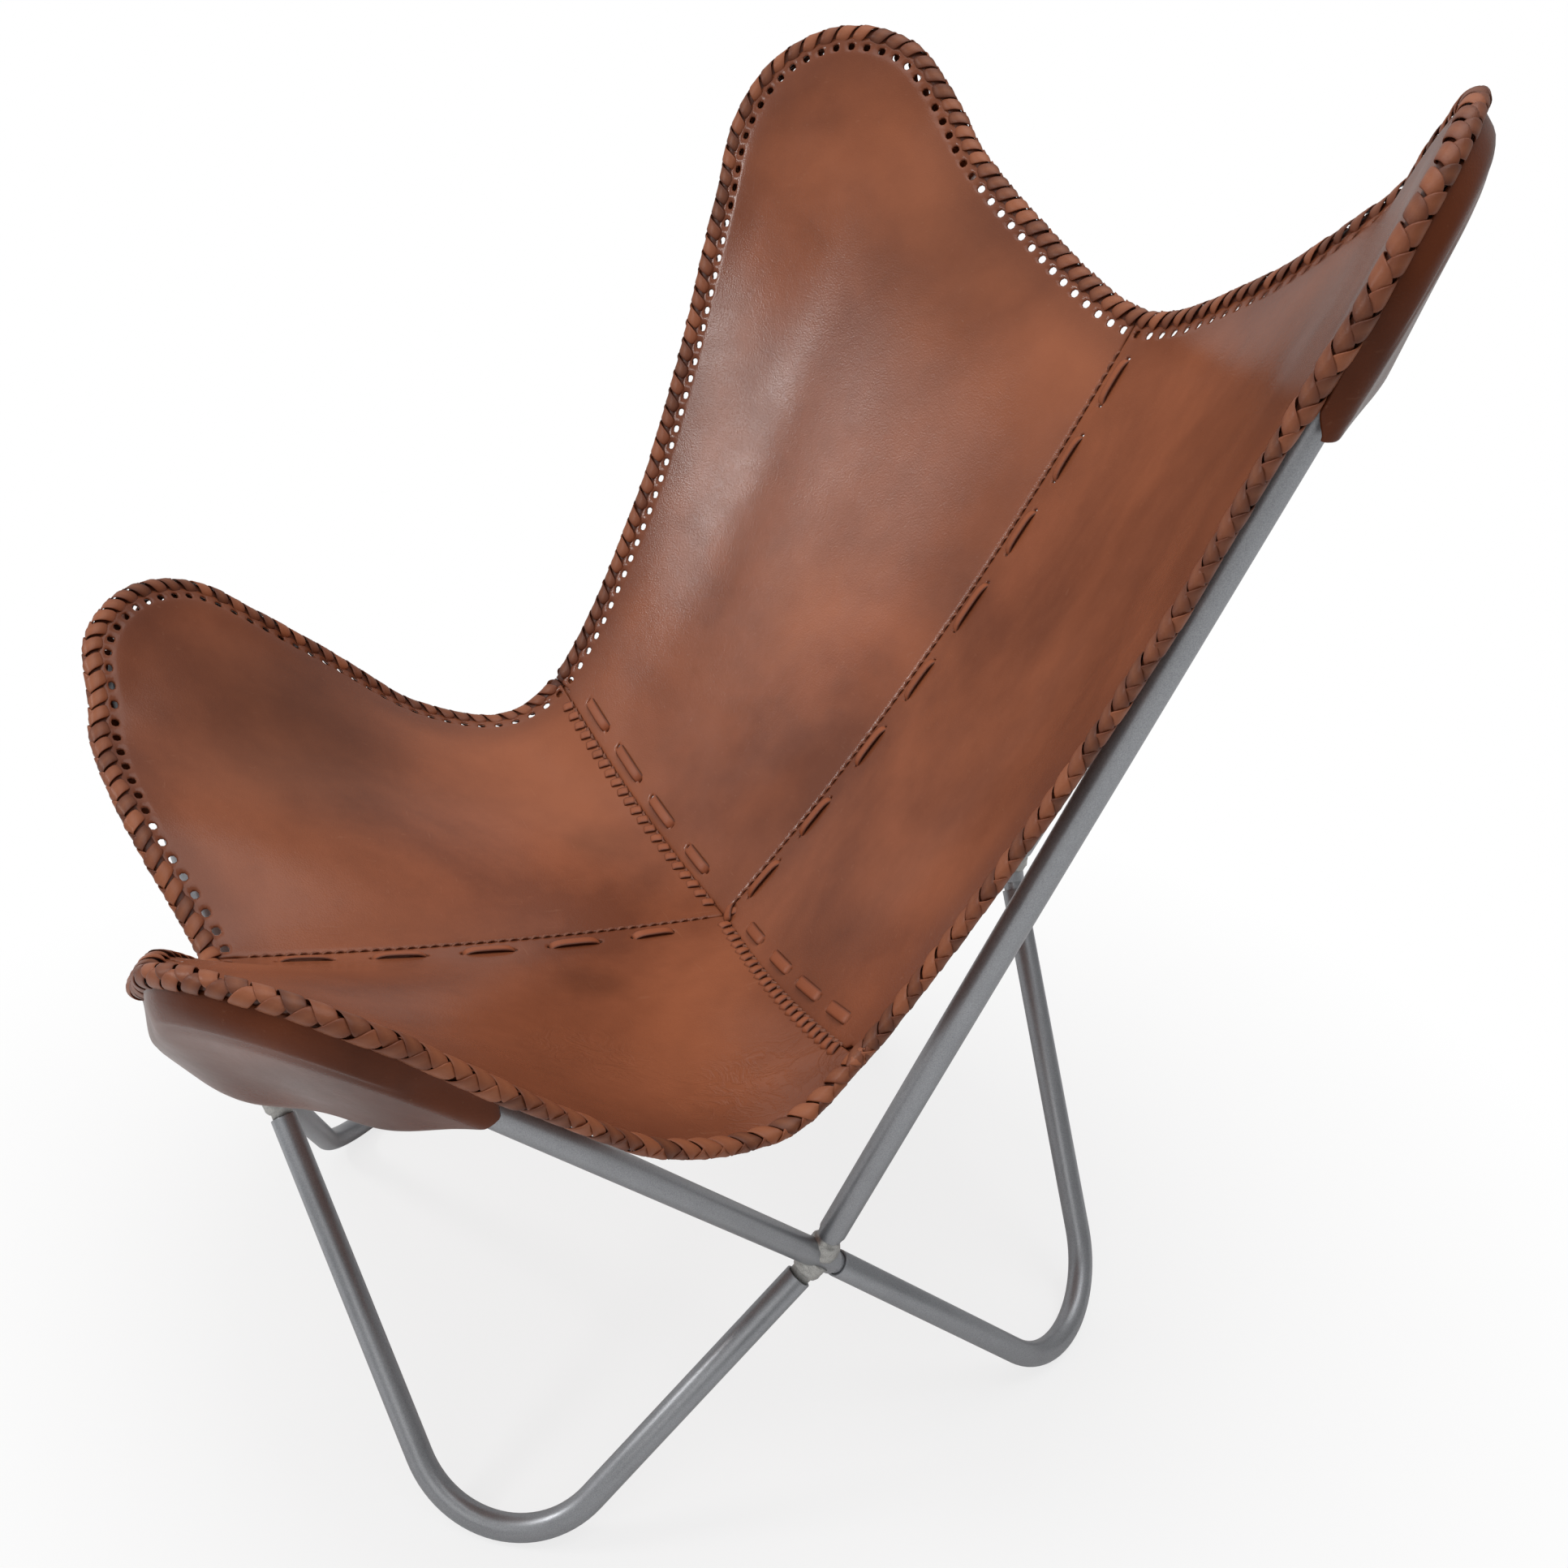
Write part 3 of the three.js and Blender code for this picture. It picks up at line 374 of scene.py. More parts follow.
def worn_outputs(tree, group, spot):
    worn = add_node(tree, "ShaderNodeGroup", node_tree=group)
    set_inputs(worn, Vector=spot)
    return worn.outputs


def attribute(tree, name):
    return add_node(tree, "ShaderNodeAttribute", attribute_name=name).outputs["Fac"]


def add_bump(tree, shader, height, strength, distance):
    bump = add_node(tree, "ShaderNodeBump")
    set_inputs(bump, Strength=strength, Distance=distance, Height=height)
    set_inputs(shader, Normal=bump.outputs["Normal"])


def leather_material(name, group, tones, edge_tone, gloss):
    """Waxed leather whose tone drifts from patch to patch and darkens toward the laced edge."""
    material, tree, shader, spot = new_material(name)
    worn = worn_outputs(tree, group, spot)
    tint = ramp(tree, worn["Patch"], [(0.36, tones[0]), (0.5, tones[1]), (0.64, tones[2])])
    tint = blend(tree, "MIX", attribute(tree, "edge_near"), tint, edge_tone)
    marked = maths(tree, "MULTIPLY", worn["Mark"], 0.10)
    tint = blend(tree, "MIX", marked, tint, colour(176, 128, 100))
    # Spots of painted light and painted shade, partly the hide's patchy tone, make the leather lighter or
    # darker at given places
    tint = blend(tree, "MULTIPLY", 1.0, tint, maths(tree, "ADD", attribute(tree, "tone_and_shade_spots"), 1.0))
    rough = ramp(tree, worn["Sheen"], [(0.32, grey(0.19)), (0.68, grey(0.27))])
    set_inputs(shader, Base_Color=tint, Roughness=rough, Specular_IOR_Level=gloss)
    fold_field = noise_texture(tree, spot, 36, 4, 0.55, 1.6)
    folds = ramp(tree, fold_field, [(0.42, grey(1)), (0.5, grey(0)), (0.58, grey(1))])
    crumpled = maths(tree, "MULTIPLY", folds, attribute(tree, "crumple"))
    add_bump(tree, shader, maths(tree, "ADD", worn["Height"], crumpled), 0.22, 0.0008)
    return material


def lace_material(name, group, tones):
    """Narrow leather straps: each strap has its own tone, and their crests are lighter, partly rubbed wear
    and partly painted highlight.
    """
    material, tree, shader, spot = new_material(name)
    worn = worn_outputs(tree, group, spot)
    tint = ramp(tree, attribute(tree, "strap_tone_and_shade"), [(0.0, tones[0]), (0.5, tones[1]), (1.0, tones[2])])
    # Crests are made lighter: partly rubbed wear, partly painted highlight
    rubbed_and_highlit = maths(tree, "MULTIPLY", worn["Patch"], 0.7)
    rubbed_and_highlit = maths(tree, "MULTIPLY", attribute(tree, "crest"), rubbed_and_highlit)
    tint = blend(tree, "MIX", rubbed_and_highlit, tint, colour(170, 108, 74))
    add_bump(tree, shader, worn["Height"], 0.3, 0.0006)
    set_inputs(shader, Base_Color=tint, Roughness=0.42, Specular_IOR_Level=0.25)
    return material


def thread_material():
    material, tree, shader, spot = new_material("waxed_thread")
    twist = noise_texture(tree, spot, 900, 2, 0.5)
    tint = ramp(tree, twist, [(0.3, colour(96, 52, 34)), (0.7, colour(138, 80, 52))])
    set_inputs(shader, Base_Color=tint, Roughness=0.6)
    return material


def paint_material(name, low, high, grain_height):
    """Satin metallic paint with a fine flake, a little cloudy in tone and gloss."""
    material, tree, shader, spot = new_material(name)
    flake = noise_texture(tree, spot, 1400, 2, 0.6)
    cloud = noise_texture(tree, spot, 18, 4, 0.6)
    tint = ramp(tree, flake, [(0.3, low), (0.7, high)])
    shade = ramp(tree, cloud, [(0.3, grey(0.86)), (0.7, grey(1.0))])
    tint = blend(tree, "MULTIPLY", 1.0, tint, shade)
    rough = ramp(tree, cloud, [(0.3, grey(0.33)), (0.7, grey(0.42))])
    add_bump(tree, shader, flake, 0.25, grain_height)
    set_inputs(shader, Base_Color=tint, Roughness=rough, Metallic=0.7)
    return material


def floor_material():
    """A white floor: seen directly it stays near white, and it keeps a soft shadow."""
    material, tree, shader, spot = new_material("white_floor")
    set_inputs(shader, Base_Color=grey(0.86), Roughness=0.9, Specular_IOR_Level=0.1)
    glow = add_node(tree, "ShaderNodeEmission")
    set_inputs(glow, Color=grey(1.0), Strength=1.0)
    rays = add_node(tree, "ShaderNodeLightPath")
    both = add_node(tree, "ShaderNodeMixShader")
    away = add_node(tree, "ShaderNodeVectorMath", operation="LENGTH")
    feed(away.inputs[0], spot)
    whiter = ramp(tree, away.outputs["Value"], [(0.35, grey(0.76)), (0.85, grey(1.0))])
    share = maths(tree, "MULTIPLY", rays.outputs["Is Camera Ray"], whiter)
    for socket, source in zip(both.inputs, (share, shader.outputs["BSDF"], glow.outputs["Emission"])):
        feed(socket, source)
    set_inputs(tree.nodes["Material Output"], Surface=both.outputs["Shader"])
    return material


leather_group = worn_leather_group()
panel_leather = leather_material(
    "cognac_leather", leather_group,
    (colour(112, 62, 41), colour(136, 78, 52), colour(155, 91, 61)), colour(96, 52, 36), 0.25)
# Painted shade: the pocket sheets, outside the ear tubes and facing away from the seat, get a darker copy
# of the panel leather
pocket_leather = leather_material(
    "pocket_leather", leather_group,
    (colour(84, 43, 26), colour(108, 56, 34), colour(130, 70, 42)), colour(70, 36, 24), 0.1)
braid_leather = lace_material(
    "braided_lace", leather_group, (colour(84, 45, 31), colour(116, 64, 43), colour(144, 84, 56)))
seam_leather = lace_material(
    "seam_lace", leather_group, (colour(84, 44, 28), colour(138, 75, 48), colour(156, 88, 58)))
seam_thread = thread_material()
tube_paint = paint_material("satin_silver_paint", colour(150, 152, 156), colour(178, 180, 184), 0.0001)
weld_paint = paint_material("painted_weld", colour(158, 157, 154), colour(200, 199, 195), 0.0004)


# Pieces
def add_piece(name, bm, material, replaced):
    """Adds a finished surface to the chair in place of CAD nodes."""
    mesh = bpy.data.meshes.new(name)
    bm.to_mesh(mesh)
    bm.free()
    mesh.shade_smooth()
    mesh.materials.append(material)
    piece = bpy.data.objects.new(name, mesh)
    bpy.context.scene.collection.objects.link(piece)
    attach(piece, "root")
    if replaced:
        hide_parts(*replaced)
    return piece


def thicken(piece, thickness, offset, rounding, even=True):
    solid = piece.modifiers.new("thickness", "SOLIDIFY")
    solid.thickness = thickness
    solid.offset = offset
    solid.use_even_offset = even
    if rounding:
        soft = piece.modifiers.new("soft_surface", "SUBSURF")
        soft.levels = rounding
        soft.render_levels = rounding


def store_shares(piece, name, share_of):
    """Stores one number per vertex, worked out from the vertex's place, for the material to read."""
    layer = piece.data.attributes.new(name, "FLOAT", "POINT")
    for vertex in piece.data.vertices:
        layer.data[vertex.index].value = share_of(vertex.co)


def share_near(spots):
    """A function that adds up the strengths of the spots that a place is near to."""
    def share(co):
        return sum(strength * (1 - smooth((co - Vector(spot)).length, SPOT_CORE_SHARE * radius, radius))
                   for spot, radius, strength in spots)
    return share


# Bent tubes
class BentPath:
    """Two straight legs joined by one round bend."""

    def __init__(self, start, corner, end, radius):
        to_start = along(corner, start)
        to_end = along(corner, end)
        half = to_start.angle(to_end) / 2
        self.start = start
        self.end = end
        self.radius = radius
        self.sweep = math.pi - 2 * half
        self.to_tip = -(to_start + to_end).normalized()
        self.across = (to_end - to_start).normalized()
        self.centre = corner - self.to_tip * (radius / math.sin(half))
        self.tip = self.centre + self.to_tip * radius
        self.axis = self.to_tip.cross(self.across)

    def bend_point(self, angle):
        return self.centre + (self.to_tip * math.cos(angle) + self.across * math.sin(angle)) * self.radius

    def lowest_height(self):
        return self.centre.z - self.radius * math.sqrt(1 - self.axis.z ** 2)

    def nearest(self, point):
        """Nearest point of the centreline: on either leg, or on the bend."""
        limit = self.sweep / 2
        offset = point - self.centre
        angle = math.atan2(offset.dot(self.across), offset.dot(self.to_tip))
        found = [self.bend_point(min(max(angle, -limit), limit))]
        for leg_end, bend_end in ((self.start, -limit), (self.end, limit)):
            bend_point = self.bend_point(bend_end)
            spot, share = intersect_point_line(point, leg_end, bend_point)
            found.append(leg_end.lerp(bend_point, min(max(share, 0.0), 1.0)))
        return min(found, key=lambda spot: (point - spot).length)


def pull_ring(bm, edges, offset, scale=1.0):
    """Extrudes a ring of edges by an offset, scaled about its own middle, and returns the new ring."""
    made = bmesh.ops.extrude_edge_only(bm, edges=edges)["geom"]
    verts = [item for item in made if isinstance(item, bmesh.types.BMVert)]
    bmesh.ops.translate(bm, verts=verts, vec=offset)
    if scale != 1.0:
        middle = sum((vert.co for vert in verts), Vector()) / len(verts)
        bmesh.ops.scale(bm, verts=verts, vec=(scale,) * 3, space=Matrix.Translation(-middle))
    fresh = set(verts)
    return [item for item in made if isinstance(item, bmesh.types.BMEdge) and set(item.verts) <= fresh]


def start_ring(bm, point, direction, radius):
    turn = UP.rotation_difference(direction).to_matrix().to_4x4()
    bmesh.ops.create_circle(
        bm, segments=TUBE_SIDES, radius=radius, matrix=Matrix.Translation(point) @ turn)
    return list(bm.edges)


def face_outward(bm, path_start, direction):
    bmesh.ops.recalc_face_normals(bm, faces=bm.faces)
    bm.faces.ensure_lookup_table()
    first = bm.faces[0]
    out = first.calc_center_median() - path_start
    out -= direction * out.dot(direction)
    if first.normal.dot(out) < 0:
        bmesh.ops.reverse_faces(bm, faces=bm.faces)


def bent_skin(path, radius, steps, rounded_start=False, rounded_end=False):
    """The outside of a bent tube: a ring pulled down one leg, round the bend and up the other leg."""
    bm = bmesh.new()
    bend_start = path.bend_point(-path.sweep / 2)
    bend_end = path.bend_point(path.sweep / 2)
    down = along(path.start, bend_start)
    up = along(bend_end, path.end)
    ring = start_ring(bm, path.start, down, radius)
    first_ring = ring
    if rounded_start:
        for share, scale in RIM_STEPS:
            first_ring = pull_ring(bm, first_ring, -down * RIM_ROUNDING * share, scale)
    ring = pull_ring(bm, ring, bend_start - path.start)
    corners = list({vert for edge in ring for vert in edge.verts})
    spun = bmesh.ops.spin(
        bm, geom=corners + ring, cent=path.centre, axis=path.axis, angle=path.sweep, steps=steps,
        use_merge=False, use_duplicate=False)["geom_last"]
    ring = [item for item in spun if isinstance(item, bmesh.types.BMEdge)]
    ring = pull_ring(bm, ring, path.end - bend_end)
    if rounded_end:
        for share, scale in RIM_STEPS:
            ring = pull_ring(bm, ring, up * RIM_ROUNDING * share, scale)
    face_outward(bm, path.start, down)
    return bm


# Frame layout
def corner_place(places, corner):
    end, hand = corner.split("_")
    x, y, z = places[end]
    return place(x if hand == "left" else -x, y, z)


CROSSES = {
    "left": {"at": place(0.254, 0.015, 0.196), "carrier": "front_left", "plug_foot": "rear_left",
             "spigot_ear": "rear_left", "spigot_foot": "front_left"},
    "right": {"at": place(-0.254, 0.015, 0.196), "carrier": "rear_right", "plug_foot": "front_right",
              "spigot_ear": "front_right", "spigot_foot": "rear_right"},
    "front": {"at": place(0, -0.303, 0.241), "carrier": "front_left", "plug_foot": "front_right",
              "spigot_ear": "front_right", "spigot_foot": "front_left"},
    "rear": {"at": place(0, 0.309, 0.298), "carrier": "rear_right", "plug_foot": "rear_left",
             "spigot_ear": "rear_left", "spigot_foot": "rear_right"},
}
for cross in CROSSES.values():
    cross["line"] = along(corner_place(EAR_CORNERS, cross["carrier"]), cross["at"])
    cross["plug_corner"] = cross["at"] + cross["line"] * (CARRIER_OVERRUN + PLUG_GAP_AT_CARRIER)


def crosses_of(corner):
    end, hand = corner.split("_")
    return CROSSES[hand], CROSSES[end]


def leg_end(paths, corner, cross):
    path = paths[corner]
    return path.start if crosses_of(corner)[0] is cross else path.end


def ear_path(corner):
    top = corner_place(EAR_CORNERS, corner)
    ends = []
    for cross in crosses_of(corner):
        reach = CARRIER_OVERRUN if cross["carrier"] == corner else -(EAR_LEG_STANDOFF + RIM_ROUNDING)
        ends.append(cross["at"] + along(top, cross["at"]) * reach)
    return BentPath(ends[0], top, ends[1], EAR_BEND_RADIUS)


def foot_path(corner):
    """The bend is lowered until it stands on the floor."""
    low = corner_place(FOOT_CORNERS, corner)
    while True:
        ends = []
        for cross in crosses_of(corner):
            plugged = cross["plug_foot"] == corner
            anchor = cross["plug_corner"] if plugged else cross["at"]
            gap = PLUG_GAP_AT_FOOT if plugged else FOOT_LEG_STANDOFF
            ends.append(anchor + along(anchor, low) * gap)
        path = BentPath(ends[0], low, ends[1], FOOT_BEND_RADIUS)
        sink = TUBE_RADIUS - FOOT_FLAT_DEPTH - path.lowest_height()
        if abs(sink) < 1e-6:
            return path
        low.z += sink


ear_paths = {corner: ear_path(corner) for corner in CORNERS}
foot_paths = {corner: foot_path(corner) for corner in CORNERS}


def finish_tube(piece):
    thicken(piece, TUBE_WALL, -1, 0)
    rim = piece.modifiers.new("rim", "BEVEL")
    rim.affect = "EDGES"
    rim.width = RIM_BEVEL
    rim.segments = 2
    rim.profile = 0.5
    rim.material = -1
    rim.limit_method = "ANGLE"
    rim.angle_limit = RIM_BEVEL_ANGLE


def add_ear_tube(corner):
    path = ear_paths[corner]
    rounded = [cross["spigot_ear"] == corner for cross in crosses_of(corner)]
    bm = bent_skin(path, TUBE_RADIUS, BEND_STEPS, *rounded)
    finish_tube(add_piece(f"{corner}_ear_bend", bm, tube_paint, [f"{corner}_ear_tube"]))


def add_foot_tube(corner):
    bm = bent_skin(foot_paths[corner], TUBE_RADIUS, BEND_STEPS)
    for vert in bm.verts:
        vert.co.z = max(vert.co.z, 0.0)
    finish_tube(add_piece(f"{corner}_foot_bend", bm, tube_paint, [f"{corner}_foot_tube"]))


def add_plug(name, cross):
    start = cross["at"] + cross["line"] * (CARRIER_OVERRUN - SPIGOT_INSERTION)
    leg_start = leg_end(foot_paths, cross["plug_foot"], cross)
    end = leg_start + along(cross["plug_corner"], leg_start) * SPIGOT_INSERTION
    path = BentPath(start, cross["plug_corner"], end, PLUG_BEND_RADIUS)
    bm = bent_skin(path, SPIGOT_RADIUS, PLUG_BEND_STEPS)
    bmesh.ops.holes_fill(bm, edges=bm.edges, sides=TUBE_SIDES)
    add_piece(f"{name}_cross_pin", bm, tube_paint, [f"{name}_cross_plug"])


def add_spigot(name, cross, leg_start, which):
    """A bar that leaves a lumpy weld on the carrier tube."""
    direction = along(cross["at"], leg_start)
    reach = (leg_start - cross["at"]).length + SPIGOT_INSERTION
    bm = bmesh.new()
    ring = start_ring(bm, cross["at"] + direction * WELD_START, direction, SPIGOT_RADIUS + WELD_WIDTH)
    radius = SPIGOT_RADIUS + WELD_WIDTH
    for k in range(1, WELD_RINGS + 1):
        share = k / WELD_RINGS
        wider = SPIGOT_RADIUS + WELD_WIDTH * math.sqrt(max(1 - share * share, 0))
        ring = pull_ring(bm, ring, direction * (WELD_TOP - WELD_START) / WELD_RINGS, wider / radius)
        radius = wider
    face_outward(bm, cross["at"], direction)
    bm.normal_update()
    for vert in bm.verts:
        height = (vert.co - cross["at"]).dot(direction)
        fade = 1 - smooth(height, WELD_TOP - WELD_FADE, WELD_TOP)
        vert.co += vert.normal * noise.noise(vert.co * WELD_LUMP_SCALE) * WELD_LUMP * fade
    pull_ring(bm, ring, direction * (reach - WELD_TOP))
    face_outward(bm, cross["at"], direction)
    bmesh.ops.holes_fill(bm, edges=bm.edges, sides=TUBE_SIDES)
    node = f"{name}_cross_{which}_spigot"
    add_piece(f"{name}_cross_{which}_weld", bm, weld_paint, [node])


for corner in CORNERS:
    add_ear_tube(corner)
    add_foot_tube(corner)
for name, cross in CROSSES.items():
    add_plug(name, cross)
    add_spigot(name, cross, leg_end(ear_paths, cross["spigot_ear"], cross), "upper")
    add_spigot(name, cross, leg_end(foot_paths, cross["spigot_foot"], cross), "lower")


# Sling layout, left half
class Ear:
    """A loop of tube that carries one corner of the sling."""

    def __init__(self, path):
        self.path = path
        self.inside = path.axis.copy()
        if self.inside.dot(along(path.tip, SEAT_LOW)) < 0:
            self.inside.negate()

    def round_bend(self, degrees, margin, height):
        spot = self.path.bend_point(math.radians(degrees))
        return spot + along(self.path.centre, spot) * margin + self.inside * height

    def beside_leg(self, leg, below, margin, height):
        path = self.path
        side = leg == "side"
        top = path.bend_point(-path.sweep / 2 if side else path.sweep / 2)
        line = along(top, path.start if side else path.end)
        drop = below - (path.tip - top).dot(path.to_tip)
        spot = top - line * (drop / line.dot(path.to_tip))
        return spot + along(path.centre, top) * margin + self.inside * height

    def height_of(self, point):
        return (point - self.path.tip).dot(self.inside)

    def below_tip(self, point):
        return (self.path.tip - point).dot(self.path.to_tip)

    def drape(self, point, direction, full, reach):
        """Lifts a sheet that lies over the tube clear of it, coming down gently beside it."""
        offset = point - self.path.nearest(point)
        height = offset.dot(direction)
        beside = math.sqrt(max(offset.length_squared - height * height, 0.0))
        hold = 1 - smooth(beside, TUBE_RADIUS + DRAPE_SHOULDER, reach)
        lift = hold * full - (height if height > 0 else hold * height)
        return point + direction * max(lift, 0.0)


class Run:
    """A line of many short steps that is read at a distance along it."""

    def __init__(self, points):
        self.points = points
        self.marks = [0.0]
        for first, second in zip(points, points[1:]):
            self.marks.append(self.marks[-1] + (second - first).length)
        self.length = self.marks[-1]

    def at(self, distance):
        k = min(max(bisect.bisect_right(self.marks, distance) - 1, 0), len(self.points) - 2)
        share = (distance - self.marks[k]) / (self.marks[k + 1] - self.marks[k])
        return self.points[k] + (self.points[k + 1] - self.points[k]) * share

    def way(self, distance, reach=0.006):
        return along(self.at(distance - reach), self.at(distance + reach))


def spline_point(points, spot):
    """Point of a centripetal spline through the points; spot counts the points from 0."""
    k = min(int(spot), len(points) - 2)
    share = spot - k
    b, c = points[k], points[k + 1]
    a = points[k - 1] if k > 0 else 2 * b - c
    d = points[k + 2] if k + 2 < len(points) else 2 * c - b
    ab, bc, cd = (math.sqrt((q - p).length) for p, q in ((a, b), (b, c), (c, d)))
    way_b = ((b - a) / ab - (c - a) / (ab + bc) + (c - b) / bc) * bc
    way_c = ((c - b) / bc - (d - b) / (bc + cd) + (d - c) / cd) * bc
    square = -3 * b + 3 * c - 2 * way_b - way_c
    cube = 2 * b - 2 * c + way_b + way_c
    return b + way_b * share + square * share ** 2 + cube * share ** 3


def sagging_run(start, end, down, sag, steps=80):
    middle = (start + end) / 2 + down * 2 * sag
    shares = [k / steps for k in range(steps + 1)]
    return Run([start.lerp(middle, share).lerp(middle.lerp(end, share), share) for share in shares])


SEAT_LOW = place(0, 0.051, 0.307)
BACK_TOP = place(0, 0.371, 0.739)
FRONT_LIP = place(0, -0.330, 0.361)
SIDE_NOTCH = place(0.297, 0.013, 0.391)
SIDE_DIP = place(0.303, -0.035, 0.359)
rear_ear = Ear(ear_paths["rear_left"])
front_ear = Ear(ear_paths["front_left"])
rear_lace = [BACK_TOP]
rear_lace += [rear_ear.beside_leg("centre", *spot) for spot in REAR_CENTRE_LACE]
rear_lace += [rear_ear.round_bend(*spot) for spot in reversed(REAR_TIP_LACE)]
rear_lace += [rear_ear.beside_leg("side", *spot) for spot in REAR_SIDE_LACE]
front_lace = [front_ear.beside_leg("side", *spot) for spot in FRONT_SIDE_LACE]
front_lace += [front_ear.round_bend(*spot) for spot in FRONT_TIP_LACE]
front_lace += [front_ear.beside_leg("centre", *spot) for spot in FRONT_CENTRE_LACE]
half_lace = rear_lace + [SIDE_NOTCH, SIDE_DIP] + front_lace + [FRONT_LIP]
# One point of the right half at each end takes the line straight across the middle of the chair
lace_points = [mirrored(half_lace[1])] + half_lace + [mirrored(half_lace[-2])]
BACK_TOP_SPOT = 1
REAR_TIP_SPOT = BACK_TOP_SPOT + 1 + len(REAR_CENTRE_LACE) + len(REAR_TIP_LACE) // 2
NOTCH_SPOT = BACK_TOP_SPOT + len(rear_lace)
FRONT_TIP_SPOT = NOTCH_SPOT + 2 + len(FRONT_SIDE_LACE) + len(FRONT_TIP_LACE) // 2
FRONT_LIP_SPOT = len(lace_points) - 2


def edge_run(ear, first, last, steps=160):
    """The laced edge between two lace points, lifted over the ear tube."""
    points = [spline_point(lace_points, mix(first, last, k / steps)) for k in range(steps + 1)]
    return Run([ear.drape(point, ear.inside, PANEL_HEIGHT, PANEL_DRAPE_REACH) for point in points])


def between_sides(u, v, sides, corners):
    """Point at shares u and v of a surface stretched between four sides."""
    centre_seam, side_edge, side_seam, centre_edge = sides
    low, top, notch, tip = corners
    point = centre_seam * (1 - v) + side_edge * v + side_seam * (1 - u) + centre_edge * u
    return point - low * (1 - u) * (1 - v) - top * u * (1 - v) - notch * (1 - u) * v - tip * u * v


def stretch(bm, verts, rounds):
    """Pulls a sheet tight between its edges."""
    for _ in range(rounds):
        bmesh.ops.smooth_vert(
            bm, verts=verts, factor=0.5, use_axis_x=True, use_axis_y=True, use_axis_z=True)


class SlingCorner:
    """One quarter of the sling: panel, laced edge and pocket, worked out for the left side."""

    def __init__(self, name, ear, centre_seam, side_seam, centre_edge, side_edge, pocket):
        self.name = name
        self.ear = ear
        self.pocket = pocket
        self.centre_seam = centre_seam
        self.side_seam = side_seam
        self.centre_edge = centre_edge
        self.side_edge = side_edge
        self.lace = Run(centre_edge.points + side_edge.points[-2::-1])
        self.tip_mark = centre_edge.length
        self.centre_marks = self.marks(centre_edge.length)
        self.side_marks = [self.tip_mark + mark for mark in self.marks(side_edge.length)]
        self.columns = self.centre_marks + self.side_marks[1:]
        covered = [mark for mark in self.columns if self.is_covered(self.lace.at(mark))]
        self.pocket_from = covered[0]
        self.pocket_to = covered[-1]
        self.surface = self.surface_tree()

    def hem_below(self, point):
        centre_side = (point - self.ear.path.tip).dot(self.ear.path.across) > 0
        return self.pocket["centre"] if centre_side else self.pocket["side"]

    def is_covered(self, point):
        return self.ear.below_tip(point) < self.hem_below(point)

    def pocket_share(self, distance):
        """1 where the braid binds a pocket as well as the panel, fading to 0 beyond the pocket's ends."""
        start = smooth(distance, self.pocket_from - POCKET_BRAID_FADE, self.pocket_from)
        end = smooth(distance, self.pocket_to, self.pocket_to + POCKET_BRAID_FADE)
        return start * (1 - end)

    def is_hole(self, column):
        last_centre = len(self.centre_marks) - 1
        return (column if column < last_centre else column - last_centre) % 2 == 1

    def spread(self, u, v):
        """Place between both seams and both edges, before the leather is pulled tight."""
        runs = ((self.centre_seam, u), (self.side_edge, u), (self.side_seam, v), (self.centre_edge, v))
        ends = ((self.centre_seam, 0), (self.centre_seam, 1), (self.side_seam, 1), (self.side_edge, 1))
        sides, corners = ([run.at(share * run.length) for run, share in spots] for spots in (runs, ends))
        return between_sides(u, v, sides, corners)

    def surface_tree(self):
        """The middle of the panel's leather, pulled tight and lifted over the ear tube."""
        bm = bmesh.new()
        made = bmesh.ops.create_grid(bm, x_segments=SURFACE_CELLS, y_segments=SURFACE_CELLS, size=0.5)
        for vert in made["verts"]:
            u, v = vert.co.x + 0.5, vert.co.y + 0.5
            point = self.over_tube(self.spread(u, v))
            calm = min(1.0, CALM_AT_SEAM * min(u, v), CALM_AT_EDGE * (1 - max(u, v)))
            ripple = noise.noise(point * RIPPLE_SCALE) * RIPPLE_HEIGHT
            vert.co = point + self.ear.inside * ripple * calm
        field = [vert for vert in made["verts"] if not vert.is_boundary]
        stretch(bm, field, STRETCH_ROUNDS)
        for vert in field:
            vert.co = self.over_tube(vert.co)
        stretch(bm, field, SETTLE_ROUNDS)
        tree = BVHTree.FromBMesh(bm)
        bm.free()
        return tree

    def over_tube(self, point):
        return self.ear.drape(point, self.ear.inside, PANEL_HEIGHT, PANEL_DRAPE_REACH)

    def inward(self, distance):
        point = self.lace.at(distance)
        way = self.lace.way(distance)
        inward = SEAT_LOW - point
        return (inward - way * inward.dot(way)).normalized()

    def on_surface(self, point):
        return self.surface.find_nearest(point)[0]

    def facing(self, point):
        normal = self.surface.find_nearest(point)[1]
        return normal if normal.dot(self.ear.inside) > 0 else -normal

    def braid_frame(self, distance):
        """Centre, outward way, way to the sitter and half thickness of the braid at one distance."""
        inside_mark = min(max(distance, 0.0), self.lace.length)
        point = self.lace.at(distance)
        inward = self.inward(inside_mark)
        way = self.lace.way(inside_mark)
        facing = self.facing(self.lace.at(inside_mark) + inward * BAND_DEPTH)
        facing = (facing - way * facing.dot(way)).normalized()
        outward = facing.cross(way)
        if outward.dot(inward) > 0:
            outward.negate()
        extra = POCKET_BRAID_EXTRA * self.pocket_share(distance)
        return point - facing * extra, outward, facing, BRAID_HALF_THICKNESS + extra

    def lace_tree(self):
        tree = KDTree(len(self.lace.points))
        for k, point in enumerate(self.lace.points):
            tree.insert(point, k)
        tree.balance()
        return tree

    def marks(self, length):
        """Column places along one stretch of edge: every pitch holds one hole between two lands."""
        count = round(length / LACE_PITCH)
        pitch = length / count
        margin = (pitch - HOLE_WIDTH) / 2
        inner = [k * pitch + gap for k in range(count) for gap in (margin, pitch - margin)]
        return [0.0] + inner + [length]


